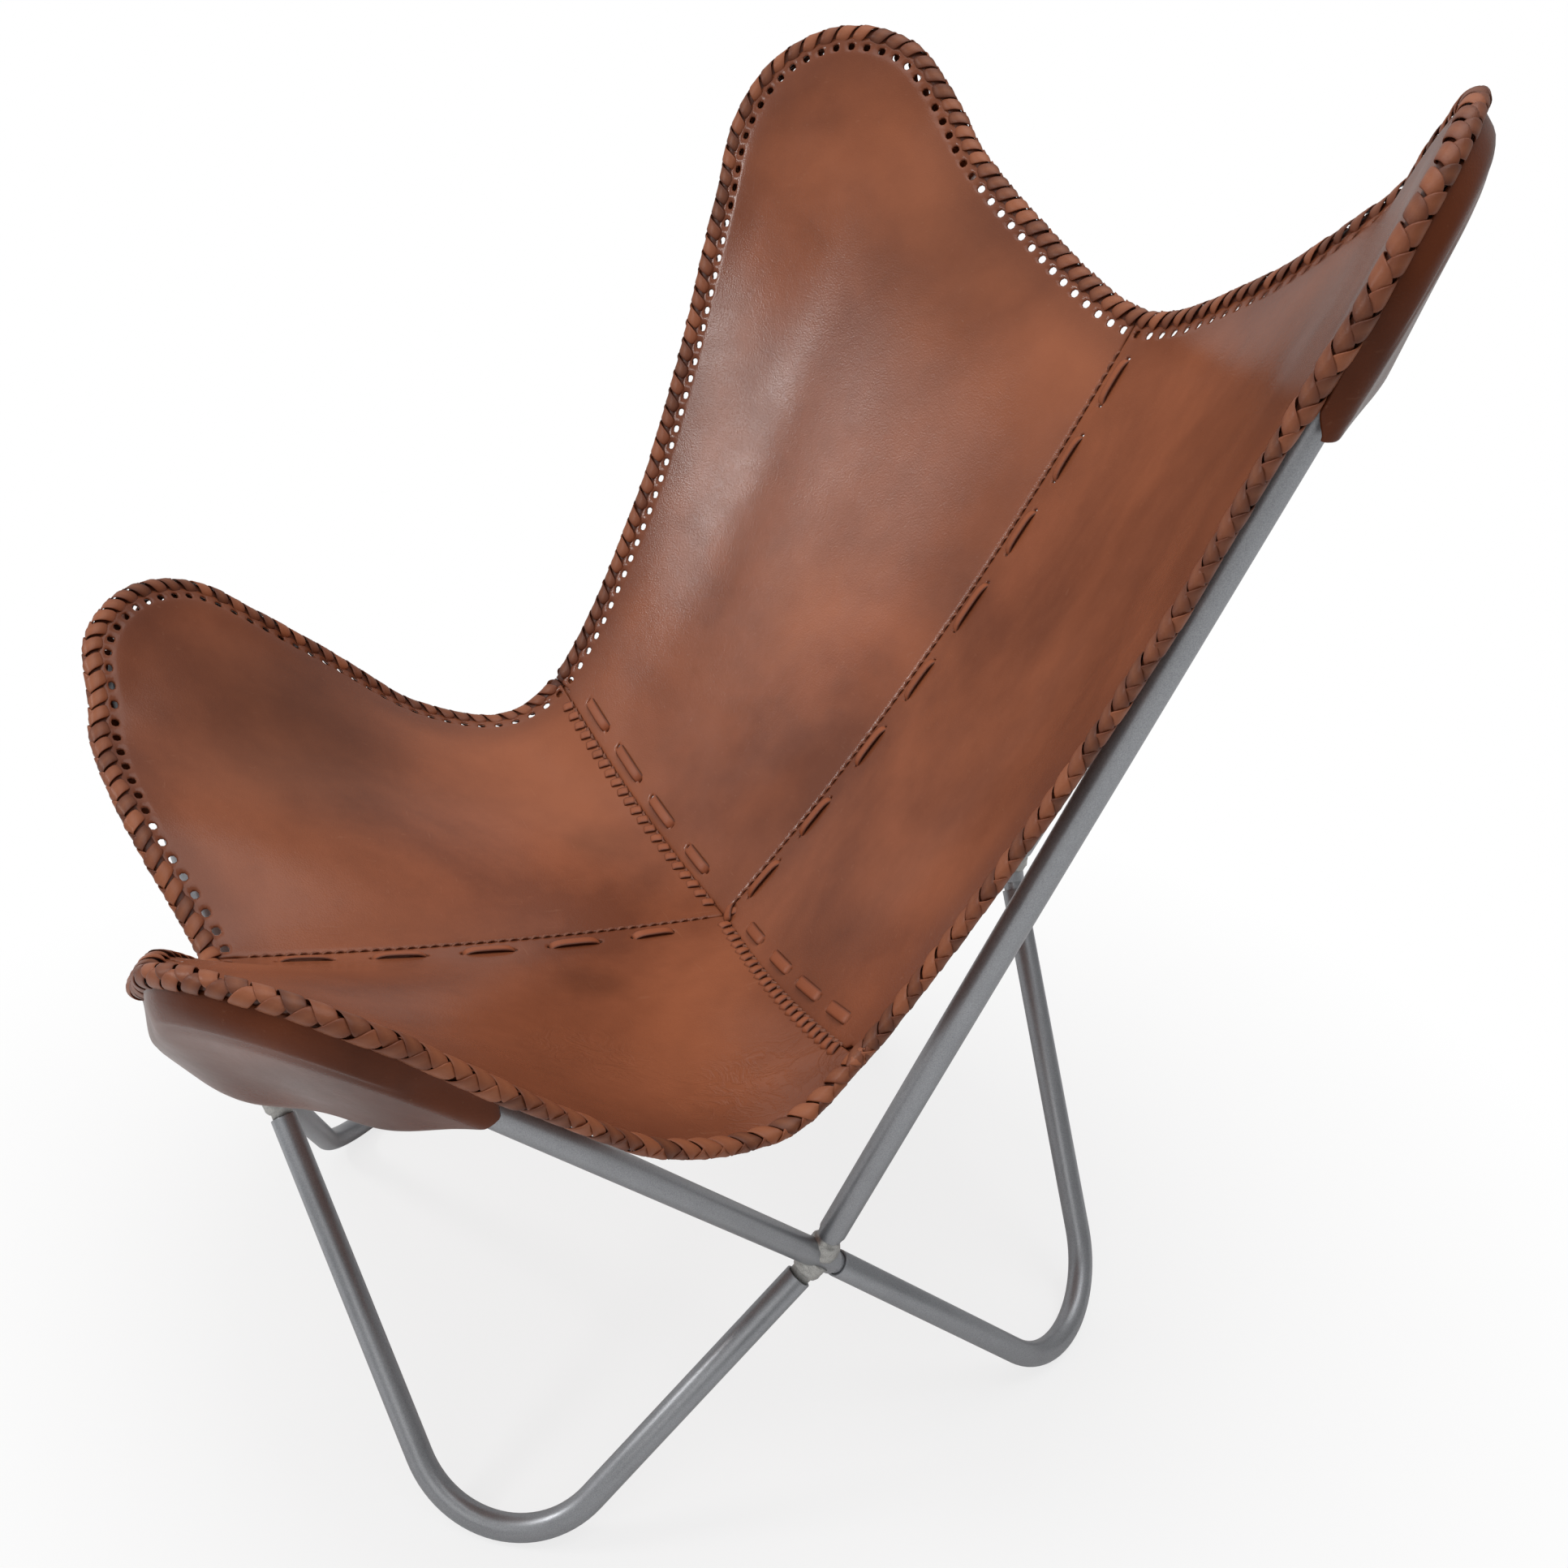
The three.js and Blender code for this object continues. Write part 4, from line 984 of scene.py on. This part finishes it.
def give_hand(bm, hand):
    """Mirrors a mesh that was made on the left where the piece belongs on the right."""
    if hand == "right":
        bmesh.ops.scale(bm, verts=bm.verts, vec=(-1, 1, 1))
        bmesh.ops.reverse_faces(bm, faces=bm.faces)


def edge_distance(corner):
    """A function that tells how dark a place on the left is for being near the laced edge."""
    tree = corner.lace_tree()

    def near(place_on_left):
        to_edge = tree.find(place_on_left)[2]
        return EDGE_DARKNESS * (1 - smooth(to_edge, EDGE_DARK_TO, EDGE_FADED_AT))
    return near


def grid_spots(made, columns, rows):
    """A new grid's vertices with their column and row numbers."""
    return [
        (vert, round((vert.co.x + 0.5) * columns), round((vert.co.y + 0.5) * rows))
        for vert in made["verts"]]


def lace_hole_faces(bm, corner, first_column, columns, rows, hole_rows):
    """Faces of a new, still flat grid that lie where the lace goes through."""
    found = []
    for face in bm.faces:
        middle = face.calc_center_median()
        column = int((middle.x + 0.5) * columns)
        row = int((middle.y + 0.5) * rows)
        if row in hole_rows and corner.is_hole(first_column + column):
            found.append(face)
    return found


def cut_slots(bm, places):
    """Opens a small slot in the face nearest to each place, and returns the middles of the slots."""
    tree = BVHTree.FromBMesh(bm)
    bm.faces.ensure_lookup_table()
    faces = [bm.faces[tree.find_nearest(spot)[2]] for spot in places]
    middles = [face.calc_center_median() for face in faces]
    bmesh.ops.inset_individual(bm, faces=list(set(faces)), thickness=SLOT_INSET, use_even_offset=True)
    bmesh.ops.delete(bm, geom=list(set(faces)), context="FACES_ONLY")
    return middles


def turn_faces(bm, way):
    bmesh.ops.recalc_face_normals(bm, faces=bm.faces)
    bm.normal_update()
    lean = sum((face.normal for face in bm.faces), Vector())
    if lean.dot(way) < 0:
        bmesh.ops.reverse_faces(bm, faces=bm.faces)


def panel_mesh(corner, side_holes):
    """A band with lace holes along the edge, joined to a stretched field inside it."""
    bm = bmesh.new()
    columns = corner.columns
    rows = [EDGE_INSET, EDGE_SUPPORT, HOLE_START, HOLE_END, BAND_DEPTH]
    hole_rows = [rows.index(HOLE_START)]

    def band_point(mark, depth):
        return corner.on_surface(corner.lace.at(mark) + corner.inward(mark) * depth)

    made = bmesh.ops.create_grid(bm, x_segments=len(columns) - 1, y_segments=len(rows) - 1, size=0.5)
    spots = grid_spots(made, len(columns) - 1, len(rows) - 1)
    holes = lace_hole_faces(bm, corner, 0, len(columns) - 1, len(rows) - 1, hole_rows)
    if not side_holes:
        last_centre = (len(corner.centre_marks) - 1) / (len(columns) - 1) - 0.5
        holes = [face for face in holes if face.calc_center_median().x < last_centre]
    for vert, column, row in spots:
        vert.co = band_point(columns[column], rows[row])
    bmesh.ops.delete(bm, geom=holes, context="FACES_ONLY")

    top_line = [band_point(mark, BAND_DEPTH) for mark in corner.centre_marks]
    side_line = [band_point(mark, BAND_DEPTH) for mark in reversed(corner.side_marks)]
    v_shares = [mark / corner.centre_edge.length for mark in corner.centre_marks]
    side_marks = [mark - corner.tip_mark for mark in reversed(corner.side_marks)]
    u_shares = [1 - mark / corner.side_edge.length for mark in side_marks]
    seam_reach = corner.centre_seam.length - BAND_DEPTH
    side_reach = corner.side_seam.length - BAND_DEPTH
    corners = SEAT_LOW, top_line[0], side_line[0], side_line[-1]
    made = bmesh.ops.create_grid(bm, x_segments=len(u_shares) - 1, y_segments=len(v_shares) - 1, size=0.5)
    for vert, i, j in grid_spots(made, len(u_shares) - 1, len(v_shares) - 1):
        u, v = u_shares[i], v_shares[j]
        on_seams = corner.centre_seam.at(u * seam_reach), corner.side_seam.at(v * side_reach)
        sides = on_seams[0], side_line[i], on_seams[1], top_line[j]
        if i == len(u_shares) - 1:
            vert.co = top_line[j]
        elif j == len(v_shares) - 1:
            vert.co = side_line[i]
        else:
            vert.co = corner.on_surface(between_sides(u, v, sides, corners))
    bmesh.ops.remove_doubles(bm, verts=bm.verts, dist=1e-6)
    turn_faces(bm, corner.ear.inside)
    return bm


def pocket_mesh(corner, open_holes):
    """A second sheet outside the ear tube, from the braid round the ear to a loose hem."""
    ear = corner.ear
    pocket = corner.pocket
    outside = -ear.inside
    first = corner.columns.index(corner.pocket_from)
    last = corner.columns.index(corner.pocket_to)
    marks = corner.columns[first:last + 1]
    rim = []
    for mark in marks:
        centre, outward, facing, half = corner.braid_frame(mark)
        rim.append(centre - facing * POCKET_UNDER)
    ends = []
    for point in (rim[0], rim[-1]):
        ends.append(point - ear.path.to_tip * (corner.hem_below(point) + HEM_MARGIN - ear.below_tip(point)))
    band = [0.0, EDGE_SUPPORT, HOLE_START, POCKET_HOLE_END, BAND_DEPTH]
    hole_rows = [band.index(EDGE_SUPPORT), band.index(HOLE_START)]
    rows = len(band) - 1 + POCKET_ROWS
    bm = bmesh.new()
    made = bmesh.ops.create_grid(bm, x_segments=len(marks) - 1, y_segments=rows, size=0.5)
    spots = grid_spots(made, len(marks) - 1, rows)
    holes = lace_hole_faces(bm, corner, first, len(marks) - 1, rows, hole_rows)
    for vert, column, row in spots:
        share = (marks[column] - marks[0]) / (marks[-1] - marks[0])
        point = rim[column]
        middle = math.sin(math.pi * share)
        hem = ends[0].lerp(ends[1], share) - ear.path.to_tip * pocket["drop"] * middle
        span = (hem - point).length
        if row < len(band):
            down = min(band[row], span * row / rows)
        else:
            later = ((row - len(band) + 1) / POCKET_ROWS) ** POCKET_ROW_GROWTH
            down = mix(min(BAND_DEPTH, span * (len(band) - 1) / rows), span, later)
        wave = math.sin(math.pi * pocket["waves"] * share) ** 2
        flare = mix(pocket["centre_flare"], pocket["side_flare"], share) * middle
        flare *= mix(1 - HEM_WAVE_SHARE, 1, wave)
        rim_height = ear.height_of(point)
        reach = max(POCKET_DRAPE_REACH, POCKET_SLOPE * (rim_height + POCKET_HEIGHT))
        spot = point.lerp(hem, down / span)
        flat = mix(rim_height, -POCKET_HEIGHT, smooth(down, 0, reach))
        spot += ear.inside * (flat - flare * down / span - ear.height_of(spot))
        vert.co = ear.drape(spot, outside, POCKET_HEIGHT, POCKET_DRAPE_REACH)
    if open_holes:
        bmesh.ops.delete(bm, geom=holes, context="FACES_ONLY")
    turn_faces(bm, outside)
    return bm


# Braid
def strap_shape(corner, mark, sign, lean, width):
    """Rows of places on one leaf-shaped strap over the edge; sign 1 starts on the sitter's side."""
    jitter = chance.uniform(-STRAP_JITTER, STRAP_JITTER)
    lines = []
    for k, lift in enumerate(STRAP_LIFTS):
        share = k / (len(STRAP_LIFTS) - 1)
        angle = sign * mix(STRAP_START_ANGLE, STRAP_END_ANGLE, share)
        shift = lean * STRAP_SLANT * LACE_PITCH * (share - STRAP_SLANT_START)
        centre, outward, facing, half = corner.braid_frame(mark + shift)
        wide = BRAID_HALF_WIDTH + lift + jitter
        high = half + lift + jitter
        point = centre + outward * math.cos(angle) * wide + facing * math.sin(angle) * high
        out = outward * math.cos(angle) / BRAID_HALF_WIDTH + facing * math.sin(angle) / half
        lines.append((point, out.normalized()))
    shape = []
    for k, (point, out) in enumerate(lines):
        before = lines[max(k - 1, 0)][0]
        after = lines[min(k + 1, len(lines) - 1)][0]
        side = out.cross(along(before, after)).normalized() * STRAP_WIDTHS[k] * width / 2
        sunk = out * STRAP_EDGE_SINK
        shape.append([point - side - sunk, point, point + side - sunk])
    return shape


def braid_mesh(corner, lean):
    """Straps laced over the edge from both faces, a half pitch apart, round a core."""
    bm = bmesh.new()
    tones = bm.verts.layers.float.new("strap_tone_and_shade")
    crests = bm.verts.layers.float.new("crest")
    lace = corner.lace
    count = round(lace.length / LACE_PITCH)
    pitch = lace.length / count
    # Painted shade: the core's vertices keep the strap tone at 0, the darkest, so the gaps between the
    # straps read dark
    made = bmesh.ops.create_grid(bm, x_segments=2 * count, y_segments=CORE_SIDES, size=0.5)
    for vert in made["verts"]:
        centre, outward, facing, half = corner.braid_frame((vert.co.x + 0.5) * lace.length)
        angle = (vert.co.y + 0.5) * 2 * math.pi
        over = outward * math.cos(angle) * (BRAID_HALF_WIDTH - CORE_DEPTH)
        vert.co = centre + over + facing * math.sin(angle) * (half - CORE_DEPTH)
    for k in range(count):
        for sign, offset in ((1, 0.5), (-1, 1.0)):
            tone = chance.random()
            mark = (k + offset) * pitch + chance.uniform(-STRAP_SHIFT, STRAP_SHIFT)
            width = STRAP_WIDTH * chance.uniform(*STRAP_WIDTH_SPREAD)
            shape = strap_shape(corner, mark, sign, lean, width)
            made = bmesh.ops.create_grid(bm, x_segments=2, y_segments=len(shape) - 1, size=0.5)
            for vert, column, row in grid_spots(made, 2, len(shape) - 1):
                vert.co = shape[row][column]
                vert[tones] = tone
                # The crest share lightens the middle of each strap: partly rubbed wear, partly painted
                # highlight
                crest = math.sin(math.pi * row / (len(shape) - 1))
                vert[crests] = crest if column == 1 else STRAP_RIM_CREST
    bmesh.ops.remove_doubles(bm, verts=bm.verts, dist=1e-6)
    bm.normal_update()
    return bm


def orient_straps(bm, corner):
    """Turns each strap's faces away from the lace line."""
    tree = corner.lace_tree()
    wrong = []
    for face in bm.faces:
        middle = face.calc_center_median()
        if face.normal.dot(middle - tree.find(middle)[0]) < 0:
            wrong.append(face)
    bmesh.ops.reverse_faces(bm, faces=wrong)


def seam_frame(corner, run, distance):
    """Point on the leather, way along the seam, way into the panel and way to the sitter."""
    way = run.way(distance)
    point = run.at(distance)
    guess = corner.lace.at(corner.tip_mark) - point
    into = (guess - way * guess.dot(way)).normalized()
    facing = corner.facing(point + into * SEAM_LACE_INSET)
    facing = (facing - way * facing.dot(way)).normalized()
    into = facing.cross(way)
    if into.dot(guess) < 0:
        into.negate()
    return point, way, into, facing


def lace_stitches(run):
    """Start and end distances of the long lace stitches beside a seam."""
    room = run.length - 2 * SEAM_LACE_MARGIN + SEAM_LACE_PITCH - SEAM_STITCH
    count = int(room / SEAM_LACE_PITCH)
    first = (run.length - count * SEAM_LACE_PITCH + SEAM_LACE_PITCH - SEAM_STITCH) / 2
    return [(first + k * SEAM_LACE_PITCH, first + k * SEAM_LACE_PITCH + SEAM_STITCH) for k in range(count)]


def beside_seam(corner, run, distance):
    point, way, into, facing = seam_frame(corner, run, distance)
    return corner.on_surface(point + into * SEAM_LACE_INSET)


def lay_strap(bm, corner, start, end, width, heights, tone):
    """A short flat strap on the leather from one place to another, with its own height at each step."""
    layer = bm.verts.layers.float["strap_tone_and_shade"]
    crest = bm.verts.layers.float["crest"]
    steps = len(heights) - 1
    made = bmesh.ops.create_grid(bm, x_segments=FLAT_STRAP_COLUMNS, y_segments=steps, size=0.5)
    way = along(start, end)
    for vert, column, row in grid_spots(made, FLAT_STRAP_COLUMNS, steps):
        spot = start.lerp(end, (1 - math.cos(math.pi * row / steps)) / 2)
        facing = corner.facing(spot)
        across = facing.cross(way).normalized()
        side = 2 * column / FLAT_STRAP_COLUMNS - 1
        at_end = row in (0, steps)
        half = width / 2 * (FLAT_STRAP_END_WIDTH if at_end else 1.0)
        crown = (1 - side ** 4) * FLAT_STRAP_CROWN
        vert.co = corner.on_surface(spot) + across * side * half + facing * (heights[row] + crown)
        # Painted shade: the tone falls to the darkest at both ends of each strap, where it dives into its
        # slot, and toward its side edges; the lighter middle is partly rubbed wear and partly painted
        # highlight
        vert[layer] = 0.0 if at_end else tone * (1 - side ** 4)
        vert[crest] = FLAT_STRAP_CREST * (1 - side * side)


def add_straps(name, corner, hand, straps, rise, size, material, replaced):
    """One piece of flat straps on a panel; each strap has a start, an end, a tone and a lift."""
    width, thickness = size
    bm = bmesh.new()
    bm.verts.layers.float.new("strap_tone_and_shade")
    bm.verts.layers.float.new("crest")
    for start, end, tone, lift in straps:
        heights = [LEATHER_THICKNESS / 2 + lift + height for height in rise]
        lay_strap(bm, corner, start, end, width, heights, tone)
    turn_faces(bm, corner.ear.inside)
    give_hand(bm, hand)
    thicken(add_piece(name, bm, material, replaced), thickness, 0, 1)


def add_seam_lace(name, corner, slots, hand):
    """The long stitches of a flat lace that dives through slots in the panel."""
    straps = [(start, end, chance.uniform(*SEAM_LACE_TONES), 0) for start, end in slots]
    size = SEAM_LACE_WIDTH, SEAM_LACE_THICKNESS
    add_straps(f"{name}_strap", corner, hand, straps, SEAM_LACE_RISE, size, seam_leather, [f"{name}_lace"])


def along_seam(corner, run, pitch):
    """The seam's frames a pitch apart, between the laced edges' bands."""
    count = int((run.length - 2 * BAND_DEPTH) / pitch)
    return [seam_frame(corner, run, BAND_DEPTH + k * pitch) for k in range(count)]


def add_seam_stitches(name, corner, run, hand):
    """Small slanted thread stitches across a seam."""
    straps = []
    for point, way, into, facing in along_seam(corner, run, STITCH_PITCH):
        step = (into * (1 - STITCH_SKEW) + way * STITCH_SKEW).normalized() * STITCH_REACH / 2
        straps.append((point - step, point + step, chance.uniform(*STITCH_TONES), 0))
    size = STITCH_WIDTH, STITCH_THICKNESS
    add_straps(f"{name}_stitches", corner, hand, straps, STITCH_RISE, size, seam_thread, [])


def add_seam_loops(name, corner, run, hand):
    """Lace loops that whip the edge of the front panel to the seam."""
    straps = []
    for point, way, into, facing in along_seam(corner, run, LOOP_PITCH):
        end = point + into * LOOP_REACH + way * LOOP_LEAN
        straps.append((point, end, chance.uniform(*LOOP_TONES), 0))
    size = LOOP_WIDTH, SEAM_LACE_THICKNESS
    add_straps(f"{name}_loops", corner, hand, straps, LOOP_RISE, size, seam_leather, [])


def add_seat_knot(corner):
    """Two short lace ends crossed where the four panels meet."""
    straps = [
        (SEAT_LOW + Vector(start), SEAT_LOW + Vector(end), KNOT_TONE, lift)
        for lift, start, end in KNOT_ENDS]
    size = KNOT_WIDTH, SEAM_LACE_THICKNESS
    add_straps("seat_knot", corner, "left", straps, KNOT_RISE, size, seam_leather, [])


def add_allowance(name, corners, run, hand):
    """The turned-under edges behind a seam."""
    bm = bmesh.new()
    made = bmesh.ops.create_grid(bm, x_segments=2, y_segments=ALLOWANCE_STEPS, size=0.5)
    for vert, column, row in grid_spots(made, 2, ALLOWANCE_STEPS):
        distance = row / ALLOWANCE_STEPS * (run.length - EDGE_INSET)
        frames = [seam_frame(corner, run, distance) for corner in corners]
        into = frames[0][2] if column == 0 else frames[-1][2]
        if len(frames) == 1 and column == 2:
            into = mirrored(frames[0][2])
        facing = (frames[0][3] + frames[-1][3] + mirrored(frames[0][3]) * (len(frames) == 1)).normalized()
        side = 0 if column == 1 else ALLOWANCE_WIDTH / 2
        vert.co = frames[0][0] + into * side - facing * ALLOWANCE_DEPTH
    turn_faces(bm, corners[0].ear.inside)
    give_hand(bm, hand)
    strip = add_piece(f"{name}_allowance", bm, panel_leather, [])
    thicken(strip, LEATHER_THICKNESS / 2, 0, 1)


def add_panel(corner, hand, laces, near):
    """A panel with the seam laces that are woven through it."""
    name = f"{corner.name}_{hand}"
    bm = panel_mesh(corner, side_holes=hand == "right")
    for seam, run, lace_hand in laces:
        if lace_hand != hand:
            continue
        pairs = lace_stitches(run)
        places = [beside_seam(corner, run, distance) for pair in pairs for distance in pair]
        middles = cut_slots(bm, places)
        add_seam_lace(seam, corner, list(zip(middles[::2], middles[1::2])), hand)
    give_hand(bm, hand)
    panel = add_piece(f"{name}_leather", bm, panel_leather, [f"{name}_panel"])
    store_shares(panel, "edge_near", near)
    # Spots of painted light and painted shade, partly patchy tone, stored for the material
    store_shares(panel, "tone_and_shade_spots", share_near(TONE_AND_SHADE_SPOTS))
    store_shares(panel, "crumple", share_near(CRUMPLES))
    thicken(panel, LEATHER_THICKNESS, 0, 1)


def add_pocket(corner, hand, near):
    name = f"{corner.name}_{hand}"
    bm = pocket_mesh(corner, open_holes=hand == "right")
    give_hand(bm, hand)
    # The pocket sheet takes the darker leather copy, painted shade
    pocket = add_piece(f"{name}_pocket_leather", bm, pocket_leather, [f"{name}_pocket"])
    store_shares(pocket, "edge_near", lambda co: POCKET_EDGE_SHARE * near(co))
    thicken(pocket, LEATHER_THICKNESS, 0, 1)


def add_braid(corner, hand, lean):
    name = f"{corner.name}_{hand}"
    bm = braid_mesh(corner, lean)
    orient_straps(bm, corner)
    give_hand(bm, hand)
    braid = add_piece(f"{name}_braid", bm, braid_leather, [f"{name}_edge_braid"])
    thicken(braid, STRAP_THICKNESS, 0, 1, even=False)


def add_sling_corner(corner, laces):
    """Adds the panels, pockets and braids of one end of the chair, left and right."""
    near_on_left = edge_distance(corner)
    nearness = {"left": near_on_left, "right": lambda co: near_on_left(mirrored(co))}
    for hand, lean in (("left", 1), ("right", -1)):
        add_panel(corner, hand, laces, nearness[hand])
        add_pocket(corner, hand, nearness[hand])
        add_braid(corner, hand, lean)


back_seam = sagging_run(SEAT_LOW, BACK_TOP, Vector((0, 1, -1)).normalized(), BACK_SEAM_SAG)
front_seam = sagging_run(SEAT_LOW, FRONT_LIP, -UP, FRONT_SEAM_SAG)
side_seam = sagging_run(SEAT_LOW, SIDE_NOTCH, -UP, SIDE_SEAM_SAG)
rear_corner = SlingCorner(
    "rear", rear_ear, back_seam, side_seam,
    edge_run(rear_ear, BACK_TOP_SPOT, REAR_TIP_SPOT),
    edge_run(rear_ear, NOTCH_SPOT, REAR_TIP_SPOT), REAR_POCKET)
front_corner = SlingCorner(
    "front", front_ear, front_seam, side_seam,
    edge_run(front_ear, FRONT_LIP_SPOT, FRONT_TIP_SPOT),
    edge_run(front_ear, NOTCH_SPOT, FRONT_TIP_SPOT), FRONT_POCKET)
add_sling_corner(rear_corner, [
    ("back_seam", back_seam, "left"), ("left_seam", side_seam, "left"), ("right_seam", side_seam, "right")])
add_sling_corner(front_corner, [("front_seam", front_seam, "left")])
add_seam_stitches("back_seam", rear_corner, back_seam, "left")
add_seam_stitches("front_seam", front_corner, front_seam, "left")
add_seat_knot(rear_corner)
add_allowance("back_seam", [rear_corner], back_seam, "left")
add_allowance("front_seam", [front_corner], front_seam, "left")
for seam_hand in ("left", "right"):
    add_seam_stitches(f"{seam_hand}_seam", rear_corner, side_seam, seam_hand)
    add_seam_loops(f"{seam_hand}_seam", front_corner, side_seam, seam_hand)
    add_allowance(f"{seam_hand}_seam", [front_corner, rear_corner], side_seam, seam_hand)


# Stage, light and camera
def add_floor():
    bm = bmesh.new()
    bmesh.ops.create_grid(bm, x_segments=1, y_segments=1, size=FLOOR_HALF_WIDTH)
    mesh = bpy.data.meshes.new("floor")
    bm.to_mesh(mesh)
    bm.free()
    mesh.materials.append(floor_material())
    floor = bpy.data.objects.new("floor", mesh)
    bpy.context.scene.collection.objects.link(floor)


def add_area_light(name, spot, size, power, tint):
    lamp = bpy.data.lights.new(name, "AREA")
    lamp.shape = "RECTANGLE"
    lamp.size, lamp.size_y = size
    lamp.energy = power
    lamp.color = tint
    light = bpy.data.objects.new(name, lamp)
    light.location = spot
    light.rotation_euler = (LAMP_TARGET - Vector(spot)).to_track_quat("-Z", "Y").to_euler()
    bpy.context.scene.collection.objects.link(light)


def add_world():
    """White to the camera; to the chair, an even room that is dimmer away from the window side."""
    world = bpy.data.worlds.new("studio")
    bpy.context.scene.world = world
    world.use_nodes = True
    tree = world.node_tree
    back = tree.nodes["Background"]
    rays = add_node(tree, "ShaderNodeLightPath")
    spot = add_node(tree, "ShaderNodeTexCoord").outputs["Generated"]
    parts = add_node(tree, "ShaderNodeSeparateXYZ")
    set_inputs(parts, Vector=spot)
    height = maths(tree, "MULTIPLY", maths(tree, "ADD", parts.outputs["Z"], 1.0), 0.5)
    room = ramp(tree, height, [(0.4, grey(0.40)), (0.62, grey(0.48)), (0.95, grey(0.72))])
    for way, near, far in (("Y", 1.18, 0.7), ("X", 1.1, 0.6)):
        share = maths(tree, "MULTIPLY", maths(tree, "ADD", parts.outputs[way], 1.0), 0.5)
        room = blend(tree, "MULTIPLY", 1.0, room, ramp(tree, share, [(0.1, grey(near)), (0.9, grey(far))]))
    set_inputs(back, Color=blend(tree, "MIX", rays.outputs["Is Camera Ray"], room, grey(1.0)))


def add_camera():
    view = bpy.data.cameras.new("photographed_view")
    view.lens = CAMERA_LENS
    view.sensor_width = CAMERA_SENSOR
    view.shift_x, view.shift_y = CAMERA_SHIFT
    camera = bpy.data.objects.new("photographed_view", view)
    camera.location = CAMERA_PLACE
    camera.rotation_euler = CAMERA_FORWARD.to_track_quat("-Z", "Y").to_euler()
    bpy.context.scene.collection.objects.link(camera)
    bpy.context.scene.camera = camera


add_floor()
add_world()
for lamp_name, lamp_values in LAMPS.items():
    add_area_light(lamp_name, *lamp_values)
add_camera()
bpy.context.scene.view_settings.view_transform = "Standard"
